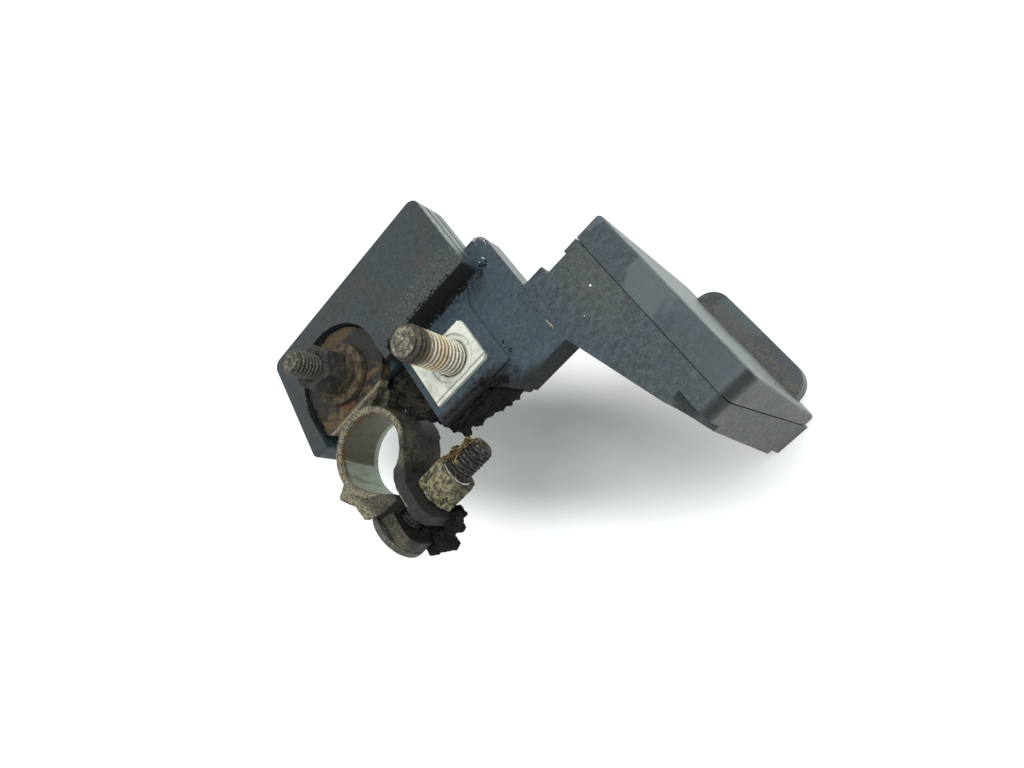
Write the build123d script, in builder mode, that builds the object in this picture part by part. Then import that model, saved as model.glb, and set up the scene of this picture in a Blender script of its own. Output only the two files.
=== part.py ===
"""Battery post clamp with its moulded link carrier and side-hung fuse box.

The origin is on the battery post's axis, at the underside of the clamp ring. +Z runs up the
post, +X points at the fuse box's lid and -Y at the clamp's ears. All sizes are millimetres.
"""
import os
from math import cos, radians, sin

from build123d import *

# Post clamp: one brass casting
clamp_height = 14.0
post_radius = 8.75
post_land = 5.0
post_taper = 0.5
ring_wall = 1.7
ring_rounding = 0.6
tab_thickness = 3.0
tab_radius = 12.1
tab_front = 9.3
tab_shoulder = 2.4
tab_cut_left = 9.6
tab_cut_right = 3.8
tab_cut_side = 4.4
web_near = 40
web_far = 52
web_reach = 4.4
web_bottom = 4.0
ear_gap = 5.2
ear_root = 1.0
left_ear_wall = 3.8
right_ear_wall = 3.2
left_ear_height = 11.0
left_ear_reach = 22.6
right_ear_reach = 22.2
ear_corner = 4.0
jaw_left_angle = 226
jaw_right_angle = 342
jaw_blend = 4
left_jaw_blend = 22
right_jaw_blend = 24
jaw_tip_gap = 0.8
jaw_tip_y = 12.6
jaw_overlap = 1.6
left_jaw_side = 7.4
right_jaw_side = 9.2
right_jaw_bend = (4.6, -6.2)
right_jaw_throat = (2.0, -9.4)
lip_thickness = 1.9
lip_start = 186
lip_neck = 206
lip_shoulder = (-12.7, -2.6)
lip_corner = (-13.1, -3.7)
lip_waist = (-10.3, -7.9)
lip_foot = (-9.9, -11.9)
shoulder_thickness = 2.8
shoulder_reach = 1.6
shoulder_bend = 0.8
shoulder_back = 10.2
weld = 0.4

# Clamp bolt and nut
clamp_bolt_y = -15.2
clamp_bolt_z = 5.0
clamp_bolt_radius = 3.0
clamp_bolt_end = 20.5
clamp_head_radius = 7.4
clamp_head_thickness = 2.0
clamp_nut_flats = 10.0
clamp_nut_height = 7.5
thread_clearance = 0.05
bolt_clearance = 0.3

# Tab stud, its washers and nut
tab_stud_x = 4.4
tab_stud_y = 20.2
tab_stud_radius = 3.0
tab_stud_tip = 30.5
tab_head_flats = 10.0
tab_head_height = 4.0
tab_washer_radius = 7.5
tab_washer_thickness = 2.0
tab_washer_bevel = 0.3
spring_washer_radius = 5.6
spring_washer_section = 2.0
spring_washer_split = 0.8
spring_washer_turn = 18
tab_nut_flats = 10.0
tab_nut_height = 6.0
stud_clearance = 0.3

# Cable stud
cable_stud_x = 28.2
cable_stud_y = 2.9
cable_stud_radius = 4.0
cable_stud_tip = 27.4
cable_shank_radius = 4.2
cable_shank_rise = 0.1
cable_head_flats = 12.0
cable_head_height = 4.4
stud_chamfer = 0.8

# Link plate: the flat plated strip between the tab and the cable stud
link_thickness = 1.0
link_pad_radius = 8.6
link_pad_left = 8.9
link_pad_right = 7.05
link_pad_front = 6.5
link_pad_back = 5.7
link_neck_width = 4.6
link_strip_y = 16.2
link_strip_width = 6.0
link_ring_radius = 5.6
link_ring_depth = 0.25
link_corner = 0.8

# Feed bar: from under the link plate through the arm into the fuse box
feed_thickness = 1.2
feed_left = 20.8
feed_joggle_start = 35.0
feed_joggle_end = 37.6
feed_drop = 3.6
feed_side = 0.4
feed_widen_x = 44.0
feed_front = -9.0
feed_branch_width = 6.6
feed_bend = 0.6

# Slab round the clamp's tab
slab_top = 15.6
slab_bottom = 6.0
slab_left = -12.7
slab_left_far = -10.3
slab_far = 39.2
slab_far_left = 38.1
slab_end = 45.4
slab_horn_y = 8.2
slab_front_y = 12.8
recess_wall_y = 15.0
recess_wall_start = 18.8
slab_corner = 2.6
slab_horn_corner = 1.6
slab_end_corner = 1.2
slab_edge = 0.5
pocket_gap = 0.3
skin = 2.2
rib = 1.6
cell = 7.2
cell_rows = 2
tab_cells = 4
end_cells = 2
groove_depth = 0.5
groove_width = 0.6
groove_levels = (9.0, 12.4)

# Pad under the cable stud, and the arm
pad_left = 17.2
pad_front = -7.6
pad_step_x = 38.6
pad_step_height = 0.5
pad_step_jog = 2.1
pad_step_run = (5.4, 1.6)
pad_bottom = 3.9
arm_bottom = 2.5
arm_front = -13.7
arm_front_start = 36.0
arm_shoulder_x = 31.0
arm_end_x = 51.0
arm_end_far = 21.9
arm_corner = 3.0
arm_front_corner = 1.0
notch_y = 2.9
notch_boss_x = 56.5

# Fuse box body
box_front = -46.4
box_back = 0.6
box_wall = 1.8
box_floor = 2.0
box_roof = 2.0
box_slant_near_x = 50.6
box_slant_near_y = -13.7
box_slant_far_x = 59.6
seam_top_x = 65.8
seam_bottom_x = 69.9
box_edge_radius = 3.0
mark_x = 58.0
mark_y = -25.0
mark_radius = 2.5
mark_depth = 0.12
rim_flange = 0.8
rim_flange_width = 3.6
cavity_back = 60.2
ledge_face = 62.2
step_x = 60.8
step_height = 6.0
scoop_x = 61.0
scoop_y = -38.6
scoop_floor = 2.0
scoop_radius = 5.0
core_wall = 1.6
core_top = 0.6
core_rib = 1.6
core_bays = 5
notch_width = 7.4
notch_back_gap = 1.0

# Lid
lid_face = 72.8
lid_rise = 1.4
lid_wall = 1.5
lid_gap = 0.25
lid_corner = 2.6
lid_edge = 1.0
film_thickness = 0.3
film_depth = 0.6
lip_depth = 2.0
lip_wall = 1.1
lip_clearance = 0.15
lip_drop = 1.5
thumb_rise = 3.9
thumb_thickness = 4.2
thumb_reach = 5.4
thumb_left = -7.3
thumb_right = -41.9
thumb_corner = 5.3

# Fuses on their studs
fuse_count = 3
fuse_pitch = 13.4
fuse_span = 30.0
fuse_upper_z = -4.0
fuse_blade_width = 11.8
fuse_blade_thickness = 1.0
fuse_blade_end = 5.4
fuse_housing_width = 12.4
fuse_housing_length = 19.0
fuse_housing_below = 2.2
fuse_housing_above = 5.0
fuse_housing_rim = 1.2
fuse_window_side = 2.2
fuse_window_end = 3.5
fuse_window_depth = 0.8
fuse_blade_corner = 1.6
fuse_waist = 3.3
fuse_stud_radius = 2.5
fuse_stud_tip = 70.0
fuse_stud_head_radius = 4.0
fuse_stud_head = 1.5
fuse_stud_chamfer = 0.6
fuse_nut_flats = 8.0
fuse_nut_height = 4.0
fuse_nut_flange_radius = 5.2
fuse_nut_flange = 1.0
outlet_width = 11.8
outlet_below = 5.0
plate_clearance = 0.5
housing_clearance = 0.3
cable_room = 8.0

# Cuts run this far past the faces that they open
past = 1.0

# Levels and places that follow from the sizes above
tab_under = clamp_height - tab_thickness
link_top = tab_under
link_under = link_top - link_thickness
pad_top = link_under
arm_top = pad_top - pad_step_height
box_top = arm_top
feed_top = link_under
feed_under = feed_top - feed_thickness
feed_low = feed_under - feed_drop
bore_bottom_radius = post_radius + post_taper
ring_top_radius = post_radius + ring_wall
ring_bottom_radius = bore_bottom_radius + ring_wall
right_ear_inner = ear_root
right_ear_outer = ear_root + right_ear_wall
left_ear_inner = ear_root - ear_gap
left_ear_outer = left_ear_inner - left_ear_wall
pocket_radius = tab_radius + pocket_gap
washer_top = clamp_height + tab_washer_thickness
spring_top = washer_top + spring_washer_section
shank_top = link_top - link_ring_depth + cable_shank_rise
link_left = cable_stud_x - link_pad_left
link_right = cable_stud_x + link_pad_right
link_front = cable_stud_y - link_pad_front
link_back = cable_stud_y + link_pad_back
fuse_lower_z = fuse_upper_z - fuse_span
fuse_centre_z = fuse_upper_z - fuse_span / 2
box_bottom = fuse_lower_z - cable_room - box_floor
lid_bottom = box_bottom + lid_rise
thumb_low = lid_bottom + thumb_rise
jaw_end_y = jaw_tip_y + jaw_overlap
feed_plate_face = ledge_face + feed_thickness
blade_face = feed_plate_face + fuse_blade_thickness
seam_slope = (seam_bottom_x - seam_top_x) / (box_top - box_bottom)
cavity_front = box_front + box_wall
cavity_end = box_back - box_wall
cavity_bottom = box_bottom + box_floor
fuse_middle = (cavity_front + cavity_end) / 2
fuse_ys = [fuse_middle + fuse_pitch * ((fuse_count - 1) / 2 - index) for index in range(fuse_count)]
lid_end = box_back + rim_flange
horn_inner = tab_stud_x - pocket_radius
housing_top = fuse_centre_z + fuse_housing_length / 2
housing_bottom = fuse_centre_z - fuse_housing_length / 2
outlet_top = housing_bottom - plate_clearance
outlet_bottom = fuse_lower_z - outlet_below


def seam_x(z):
    """The parting seam's x at a height: it leans outwards towards the bottom."""
    return seam_top_x + seam_slope * (box_top - z)


def polar(radius, angle):
    return (radius * cos(radians(angle)), radius * sin(radians(angle)))


def seam_plane(gap):
    """The parting plane, moved outwards by a gap; its normal points at the lid."""
    return Plane((seam_top_x + gap, 0, box_top), x_dir=(0, 1, 0), z_dir=(1, 0, seam_slope))


def facing_x(x, y, z):
    """A plane standing at a point and facing +X, its own axes along +Y and +Z."""
    return Plane((x, y, z), x_dir=(0, 1, 0), z_dir=(1, 0, 0))


def hex_nut(plane, flats, height, hole_radius):
    """A hexagon nut standing on a plane, its corners turned down to a cone at both ends."""
    corner = flats / 2 / cos(radians(30))
    bevel = (corner - flats / 2) * 0.95
    with BuildPart(plane) as nut:
        Cylinder(corner, height, align=(Align.CENTER, Align.CENTER, Align.MIN))
        chamfer(nut.edges().filter_by(GeomType.CIRCLE), bevel * 0.55, bevel)
        with BuildSketch(plane):
            RegularPolygon(flats / 2, 6, major_radius=False)
        extrude(amount=height, mode=Mode.INTERSECT)
        with BuildSketch(plane):
            Circle(hole_radius)
        extrude(amount=height, mode=Mode.SUBTRACT)
    return nut.part


# --- Post clamp ---------------------------------------------------------------------------
with BuildPart() as post_clamp:
    # the bore is straight over its land and then follows the post's taper
    with BuildSketch(Plane.XZ):
        with BuildLine():
            Polyline(
                (post_radius, clamp_height),
                (bore_bottom_radius, post_land),
                (bore_bottom_radius, 0),
                (ring_bottom_radius, 0),
                (ring_top_radius, clamp_height),
                close=True,
            )
        make_face()
    revolve(axis=Axis.Z)
    fillet(post_clamp.edges().group_by(Axis.Z)[-1], ring_rounding)
    # the ring is open between the two jaws
    with BuildSketch():
        with BuildLine():
            Polyline(
                (0, 0),
                polar(2 * ring_bottom_radius, jaw_left_angle),
                (0, -2 * ring_bottom_radius),
                polar(2 * ring_bottom_radius, jaw_right_angle),
                close=True,
            )
        make_face()
    extrude(amount=clamp_height, mode=Mode.SUBTRACT)
    # left jaw: thick wall running straight from the ring to the slot
    jaw_left_tip = right_ear_inner - jaw_tip_gap
    with BuildSketch() as left_jaw:
        with BuildLine():
            Polyline(
                polar(bore_bottom_radius, jaw_left_angle - jaw_blend),
                (jaw_left_tip, -jaw_tip_y),
                (jaw_left_tip, -jaw_end_y),
                (left_ear_inner, -jaw_end_y),
                (left_ear_outer, -jaw_tip_y - weld),
                (left_ear_outer, -left_jaw_side),
                polar(ring_top_radius - weld / 2, jaw_left_angle - left_jaw_blend),
                close=True,
            )
        make_face()
    extrude(amount=clamp_height)
    # right jaw
    with BuildSketch() as right_jaw:
        with BuildLine():
            Polyline(
                polar(bore_bottom_radius, jaw_right_angle + jaw_blend),
                right_jaw_bend,
                right_jaw_throat,
                (right_ear_inner, -jaw_tip_y),
                (right_ear_inner, -jaw_end_y),
                (right_ear_outer, -jaw_end_y),
                (right_ear_outer, -right_jaw_side),
                polar(ring_top_radius - weld / 2, jaw_right_angle - right_jaw_blend),
                polar(ring_top_radius - weld / 2, jaw_right_angle - right_jaw_blend / 2),
                polar(ring_top_radius - weld / 2, jaw_right_angle + jaw_blend / 2),
                close=True,
            )
        make_face()
    extrude(amount=clamp_height)
    # shoulder on the right jaw's top, over the nut
    with BuildSketch(Plane.XY.offset(clamp_height - shoulder_thickness)):
        with BuildLine():
            Polyline(
                (right_ear_inner, -jaw_tip_y),
                (right_ear_outer, -jaw_tip_y),
                (right_ear_outer + shoulder_bend, -jaw_tip_y + shoulder_bend),
                (right_ear_outer + shoulder_reach, -shoulder_back),
                polar(ring_top_radius - weld / 2, jaw_right_angle - right_jaw_blend + jaw_blend),
                (right_jaw_throat[0] + shoulder_bend, right_jaw_throat[1]),
                close=True,
            )
        make_face()
    extrude(amount=shoulder_thickness)
    # outward lip on the left jaw's top
    with BuildSketch(Plane.XY.offset(clamp_height - lip_thickness)):
        with BuildLine():
            Polyline(
                polar(ring_top_radius - weld, lip_start),
                lip_shoulder,
                lip_corner,
                lip_waist,
                lip_foot,
                (left_ear_outer, -jaw_tip_y),
                (left_ear_inner, -jaw_tip_y),
                polar(ring_top_radius - 2 * weld, jaw_left_angle),
                polar(ring_top_radius - 2 * weld, lip_neck),
                close=True,
            )
        make_face()
    extrude(amount=lip_thickness)
    # ears
    with BuildSketch(Plane.YZ.offset(left_ear_outer)) as left_ear:
        with BuildLine():
            Polyline(
                (-jaw_tip_y, 0),
                (-jaw_tip_y, left_ear_height),
                (-left_ear_reach, left_ear_height),
                (-left_ear_reach, 0),
                close=True,
            )
        make_face()
        fillet(left_ear.vertices().group_by(Axis.X)[0], ear_corner)
    extrude(amount=left_ear_wall)
    with BuildSketch(Plane.YZ.offset(right_ear_inner)) as right_ear:
        with BuildLine():
            Polyline(
                (-jaw_tip_y, 0),
                (-jaw_tip_y, clamp_height),
                (-right_ear_reach, clamp_height),
                (-right_ear_reach, 0),
                close=True,
            )
        make_face()
        fillet(right_ear.vertices().group_by(Axis.X)[0], ear_corner)
    extrude(amount=right_ear_wall)
    # tab with its round end over the stud
    with BuildSketch(Plane.XY.offset(tab_under)):
        with Locations((tab_stud_x, tab_stud_y)):
            Circle(tab_radius)
        with BuildLine():
            Polyline(
                (tab_stud_x - tab_radius, tab_stud_y),
                (tab_stud_x - tab_radius, tab_front + tab_shoulder),
                (tab_stud_x - tab_cut_left, tab_front),
                (tab_stud_x + tab_cut_right, tab_front),
                (tab_stud_x + tab_radius, tab_stud_y - tab_cut_side),
                (tab_stud_x + tab_radius, tab_stud_y),
                close=True,
            )
        make_face()
    extrude(amount=tab_thickness)
    # web under the tab, at the ring's shoulder
    with BuildSketch(Plane.XY.offset(web_bottom)):
        with BuildLine():
            Polyline(
                polar(ring_top_radius - weld, web_far),
                polar(ring_top_radius + web_reach, web_far - jaw_blend),
                polar(ring_top_radius + web_reach, web_near),
                polar(ring_top_radius - weld, web_near),
                close=True,
            )
        make_face()
    extrude(amount=tab_under - web_bottom)
    # nothing of the jaws stands into the bore
    with BuildSketch(Plane.XZ):
        with BuildLine():
            Polyline(
                (0, 0),
                (bore_bottom_radius, 0),
                (bore_bottom_radius, post_land),
                (post_radius, clamp_height),
                (0, clamp_height),
                close=True,
            )
        make_face()
    revolve(axis=Axis.Z, mode=Mode.SUBTRACT)
    # bolt hole through both ears, and the stud hole in the tab
    with BuildSketch(Plane.YZ.offset(left_ear_outer - past)):
        with Locations((clamp_bolt_y, clamp_bolt_z)):
            Circle(clamp_bolt_radius + bolt_clearance)
    extrude(amount=right_ear_outer - left_ear_outer + shoulder_reach + 2 * past, mode=Mode.SUBTRACT)
    with BuildSketch(Plane.XY.offset(tab_under)):
        with Locations((tab_stud_x, tab_stud_y)):
            Circle(tab_stud_radius + stud_clearance)
    extrude(amount=tab_thickness, mode=Mode.SUBTRACT)
post_clamp.part.label = "post_clamp"

# --- Clamp bolt and nut -------------------------------------------------------------------
with BuildPart() as clamp_bolt:
    with BuildSketch(facing_x(left_ear_outer, clamp_bolt_y, clamp_bolt_z)):
        Circle(clamp_bolt_radius)
    extrude(amount=clamp_bolt_end - left_ear_outer)
    chamfer(clamp_bolt.edges().group_by(Axis.X)[-1], stud_chamfer)
    # flat round head, rounded on its outer side
    with BuildSketch(facing_x(left_ear_outer - clamp_head_thickness, clamp_bolt_y, clamp_bolt_z)):
        Circle(clamp_head_radius)
    extrude(amount=clamp_head_thickness)
    fillet(clamp_bolt.edges().group_by(Axis.X)[0], clamp_head_thickness / 2)
clamp_bolt.part.label = "clamp_bolt"

clamp_nut = hex_nut(
    facing_x(right_ear_outer, clamp_bolt_y, clamp_bolt_z),
    clamp_nut_flats,
    clamp_nut_height,
    clamp_bolt_radius + thread_clearance,
)
clamp_nut.label = "clamp_nut"

# --- Tab stud with washer, spring washer and nut --------------------------------------------
with BuildPart() as tab_stud:
    with BuildSketch(Plane((tab_stud_x, tab_stud_y, link_under - tab_head_height))):
        RegularPolygon(tab_head_flats / 2, 6, major_radius=False)
    extrude(amount=tab_head_height)
    with BuildSketch(Plane((tab_stud_x, tab_stud_y, link_under))):
        Circle(tab_stud_radius)
    extrude(amount=tab_stud_tip - link_under)
    chamfer(tab_stud.edges().group_by(Axis.Z)[-1], stud_chamfer)
tab_stud.part.label = "tab_stud"

with BuildPart() as tab_washer:
    with BuildSketch(Plane((tab_stud_x, tab_stud_y, clamp_height))):
        Circle(tab_washer_radius)
        Circle(tab_stud_radius + stud_clearance, mode=Mode.SUBTRACT)
    extrude(amount=tab_washer_thickness)
    washer_rim = tab_washer.edges().group_by(Axis.Z)[-1].sort_by(SortBy.LENGTH)[-1]
    chamfer(washer_rim, tab_washer_bevel)
tab_washer.part.label = "tab_washer"

with BuildPart() as spring_washer:
    with BuildSketch(Plane((tab_stud_x, tab_stud_y, washer_top))):
        Circle(spring_washer_radius)
        Circle(tab_stud_radius + stud_clearance, mode=Mode.SUBTRACT)
        # the washer is split on one side
        with Locations((-spring_washer_radius, 0)):
            Rectangle(
                2 * spring_washer_radius,
                spring_washer_split,
                rotation=spring_washer_turn,
                mode=Mode.SUBTRACT,
            )
    extrude(amount=spring_washer_section)
spring_washer.part.label = "spring_washer"

tab_nut = hex_nut(
    Plane((tab_stud_x, tab_stud_y, spring_top)),
    tab_nut_flats,
    tab_nut_height,
    tab_stud_radius + thread_clearance,
)
tab_nut.label = "tab_nut"

# --- Link plate and cable stud --------------------------------------------------------------
with BuildPart() as link_plate:
    with BuildSketch(Plane.XY.offset(link_under)):
        with Locations((tab_stud_x, tab_stud_y)):
            Circle(link_pad_radius)
        # strip running from under the tab to the fusible neck
        strip_end = link_left + link_neck_width
        with Locations((tab_stud_x, link_strip_y)):
            Rectangle(
                strip_end - tab_stud_x,
                link_strip_width,
                align=(Align.MIN, Align.MIN),
            )
        with Locations((link_left, link_front)):
            Rectangle(
                link_neck_width,
                link_strip_y + link_strip_width - link_front,
                align=(Align.MIN, Align.MIN),
            )
            Rectangle(
                link_right - link_left,
                link_back - link_front,
                align=(Align.MIN, Align.MIN),
            )
        with Locations((tab_stud_x, tab_stud_y)):
            Circle(tab_stud_radius + stud_clearance, mode=Mode.SUBTRACT)
        # the cable stud's shank is pressed through
        with Locations((cable_stud_x, cable_stud_y)):
            Circle(cable_shank_radius, mode=Mode.SUBTRACT)
    extrude(amount=link_thickness)
    # two corners of the pad are nicked
    pad_corners = link_plate.edges().filter_by(Axis.Z).group_by(Axis.X)[-1]
    chamfer(pad_corners, link_corner)
    # turned ring round the stud hole
    with BuildSketch(Plane((cable_stud_x, cable_stud_y, link_top - link_ring_depth))):
        Circle(link_ring_radius)
    extrude(amount=link_ring_depth, mode=Mode.SUBTRACT)
link_plate.part.label = "link_plate"

with BuildPart() as cable_stud:
    with BuildSketch(Plane((cable_stud_x, cable_stud_y, feed_under - cable_head_height))):
        RegularPolygon(cable_head_flats / 2, 6, major_radius=False, rotation=30)
    extrude(amount=cable_head_height)
    # the shank under the thread is thicker and grips the two strips
    with BuildSketch(Plane((cable_stud_x, cable_stud_y, feed_under))):
        Circle(cable_shank_radius)
    extrude(amount=shank_top - feed_under)
    with BuildSketch(Plane((cable_stud_x, cable_stud_y, shank_top))):
        Circle(cable_stud_radius)
    extrude(amount=cable_stud_tip - shank_top)
    chamfer(cable_stud.edges().group_by(Axis.Z)[-1], stud_chamfer)
cable_stud.part.label = "cable_stud"

# --- Feed bar -------------------------------------------------------------------------------
with BuildPart() as feed_bar:
    # flat under the link plate, then a joggle down into the arm
    with BuildSketch(Plane.XZ.offset(-(link_back - feed_side))):
        with BuildLine():
            Polyline(
                (feed_left, feed_top),
                (feed_joggle_start, feed_top),
                (feed_joggle_end, feed_low + feed_thickness),
                (feed_widen_x, feed_low + feed_thickness),
                (feed_widen_x, feed_low),
                (feed_joggle_end - feed_bend, feed_low),
                (feed_joggle_start - feed_bend, feed_under),
                (feed_left, feed_under),
                close=True,
            )
        make_face()
    extrude(amount=link_back - link_front - 2 * feed_side)
    # branch through the arm to the fuse box
    with BuildSketch(Plane.XY.offset(feed_low)):
        with Locations((feed_joggle_end, feed_front)):
            Rectangle(
                feed_widen_x - feed_joggle_end,
                link_front - feed_front + feed_side,
                align=(Align.MIN, Align.MIN),
            )
        with Locations((feed_widen_x, feed_front)):
            Rectangle(
                feed_plate_face - feed_widen_x,
                feed_branch_width,
                align=(Align.MIN, Align.MIN),
            )
    extrude(amount=feed_thickness)
    # plate folded down behind the upper studs
    with BuildSketch(Plane.YZ.offset(ledge_face)):
        with Locations((fuse_middle, feed_low + feed_thickness)):
            Rectangle(
                fuse_ys[0] - fuse_ys[-1] + outlet_width,
                feed_low + feed_thickness - housing_top - plate_clearance,
                align=(Align.CENTER, Align.MAX),
            )
    extrude(amount=feed_thickness)
    with BuildSketch(Plane((cable_stud_x, cable_stud_y, feed_under))):
        Circle(cable_shank_radius)
    extrude(amount=feed_thickness, mode=Mode.SUBTRACT)
    with BuildSketch(Plane.YZ.offset(ledge_face)):
        with Locations([(y, fuse_upper_z) for y in fuse_ys]):
            Circle(fuse_stud_radius + stud_clearance)
    extrude(amount=feed_thickness, mode=Mode.SUBTRACT)
feed_bar.part.label = "feed_bar"

# --- Fuses, their studs, nuts and outlet plates -----------------------------------------------
fuse_parts = []
stud_levels = {"in": fuse_upper_z, "out": fuse_lower_z}
for number, y in enumerate(fuse_ys, start=1):
    with BuildPart() as outlet_plate:
        with BuildSketch(facing_x(ledge_face, y, fuse_lower_z)):
            with Locations((0, (outlet_top + outlet_bottom) / 2 - fuse_lower_z)):
                Rectangle(outlet_width, outlet_top - outlet_bottom)
            Circle(fuse_stud_radius + stud_clearance, mode=Mode.SUBTRACT)
        extrude(amount=feed_thickness)
    outlet_plate.part.label = f"outlet_plate_{number}"
    fuse_parts.append(outlet_plate.part)

    # blade: a strip with a round hole at each end and a narrow waist inside the housing
    blade_length = fuse_span + 2 * fuse_blade_end
    with BuildPart() as fuse_blade:
        with BuildSketch(facing_x(feed_plate_face, y, fuse_centre_z)) as blade_outline:
            Rectangle(fuse_blade_width, blade_length)
            fillet(blade_outline.vertices(), fuse_blade_corner)
            with Locations((0, fuse_span / 2), (0, -fuse_span / 2)):
                Circle(fuse_stud_radius + stud_clearance, mode=Mode.SUBTRACT)
            with Locations((fuse_blade_width / 2, 0), (-fuse_blade_width / 2, 0)):
                Circle((fuse_blade_width - fuse_waist) / 2, mode=Mode.SUBTRACT)
        extrude(amount=fuse_blade_thickness)
    fuse_blade.part.label = f"fuse_blade_{number}"
    fuse_parts.append(fuse_blade.part)

    with BuildPart() as fuse_housing:
        with BuildSketch(facing_x(feed_plate_face - fuse_housing_below, y, fuse_centre_z)):
            RectangleRounded(fuse_housing_width, fuse_housing_length, fuse_housing_rim)
        extrude(amount=fuse_housing_below + fuse_blade_thickness + fuse_housing_above)
        # window recess over the waist
        front = feed_plate_face + fuse_blade_thickness + fuse_housing_above
        fillet(fuse_housing.faces().sort_by(Axis.X)[-1].edges(), fuse_housing_rim / 2)
        with BuildSketch(facing_x(front - fuse_window_depth, y, fuse_centre_z)):
            RectangleRounded(
                fuse_housing_width - 2 * fuse_window_side,
                fuse_housing_length - 2 * fuse_window_end,
                fuse_housing_rim,
            )
        extrude(amount=fuse_window_depth, mode=Mode.SUBTRACT)
        add(fuse_blade.part, mode=Mode.SUBTRACT)
    fuse_housing.part.label = f"fuse_housing_{number}"
    fuse_parts.append(fuse_housing.part)

    for side, level in stud_levels.items():
        with BuildPart() as fuse_stud:
            with BuildSketch(facing_x(ledge_face - fuse_stud_head, y, level)):
                Circle(fuse_stud_head_radius)
            extrude(amount=fuse_stud_head)
            with BuildSketch(facing_x(ledge_face, y, level)):
                Circle(fuse_stud_radius)
            extrude(amount=fuse_stud_tip - ledge_face)
            chamfer(fuse_stud.edges().group_by(Axis.X)[-1], fuse_stud_chamfer)
        fuse_stud.part.label = f"fuse_stud_{side}_{number}"
        fuse_parts.append(fuse_stud.part)

        nut_face = facing_x(blade_face, y, level)
        with BuildPart() as fuse_nut:
            with BuildSketch(nut_face):
                Circle(fuse_nut_flange_radius)
            extrude(amount=fuse_nut_flange)
            with BuildSketch(nut_face):
                RegularPolygon(fuse_nut_flats / 2, 6, major_radius=False)
            extrude(amount=fuse_nut_height)
            with BuildSketch(nut_face):
                Circle(fuse_stud_radius + thread_clearance)
            extrude(amount=fuse_nut_height, mode=Mode.SUBTRACT)
        fuse_nut.part.label = f"fuse_nut_{side}_{number}"
        fuse_parts.append(fuse_nut.part)

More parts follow.
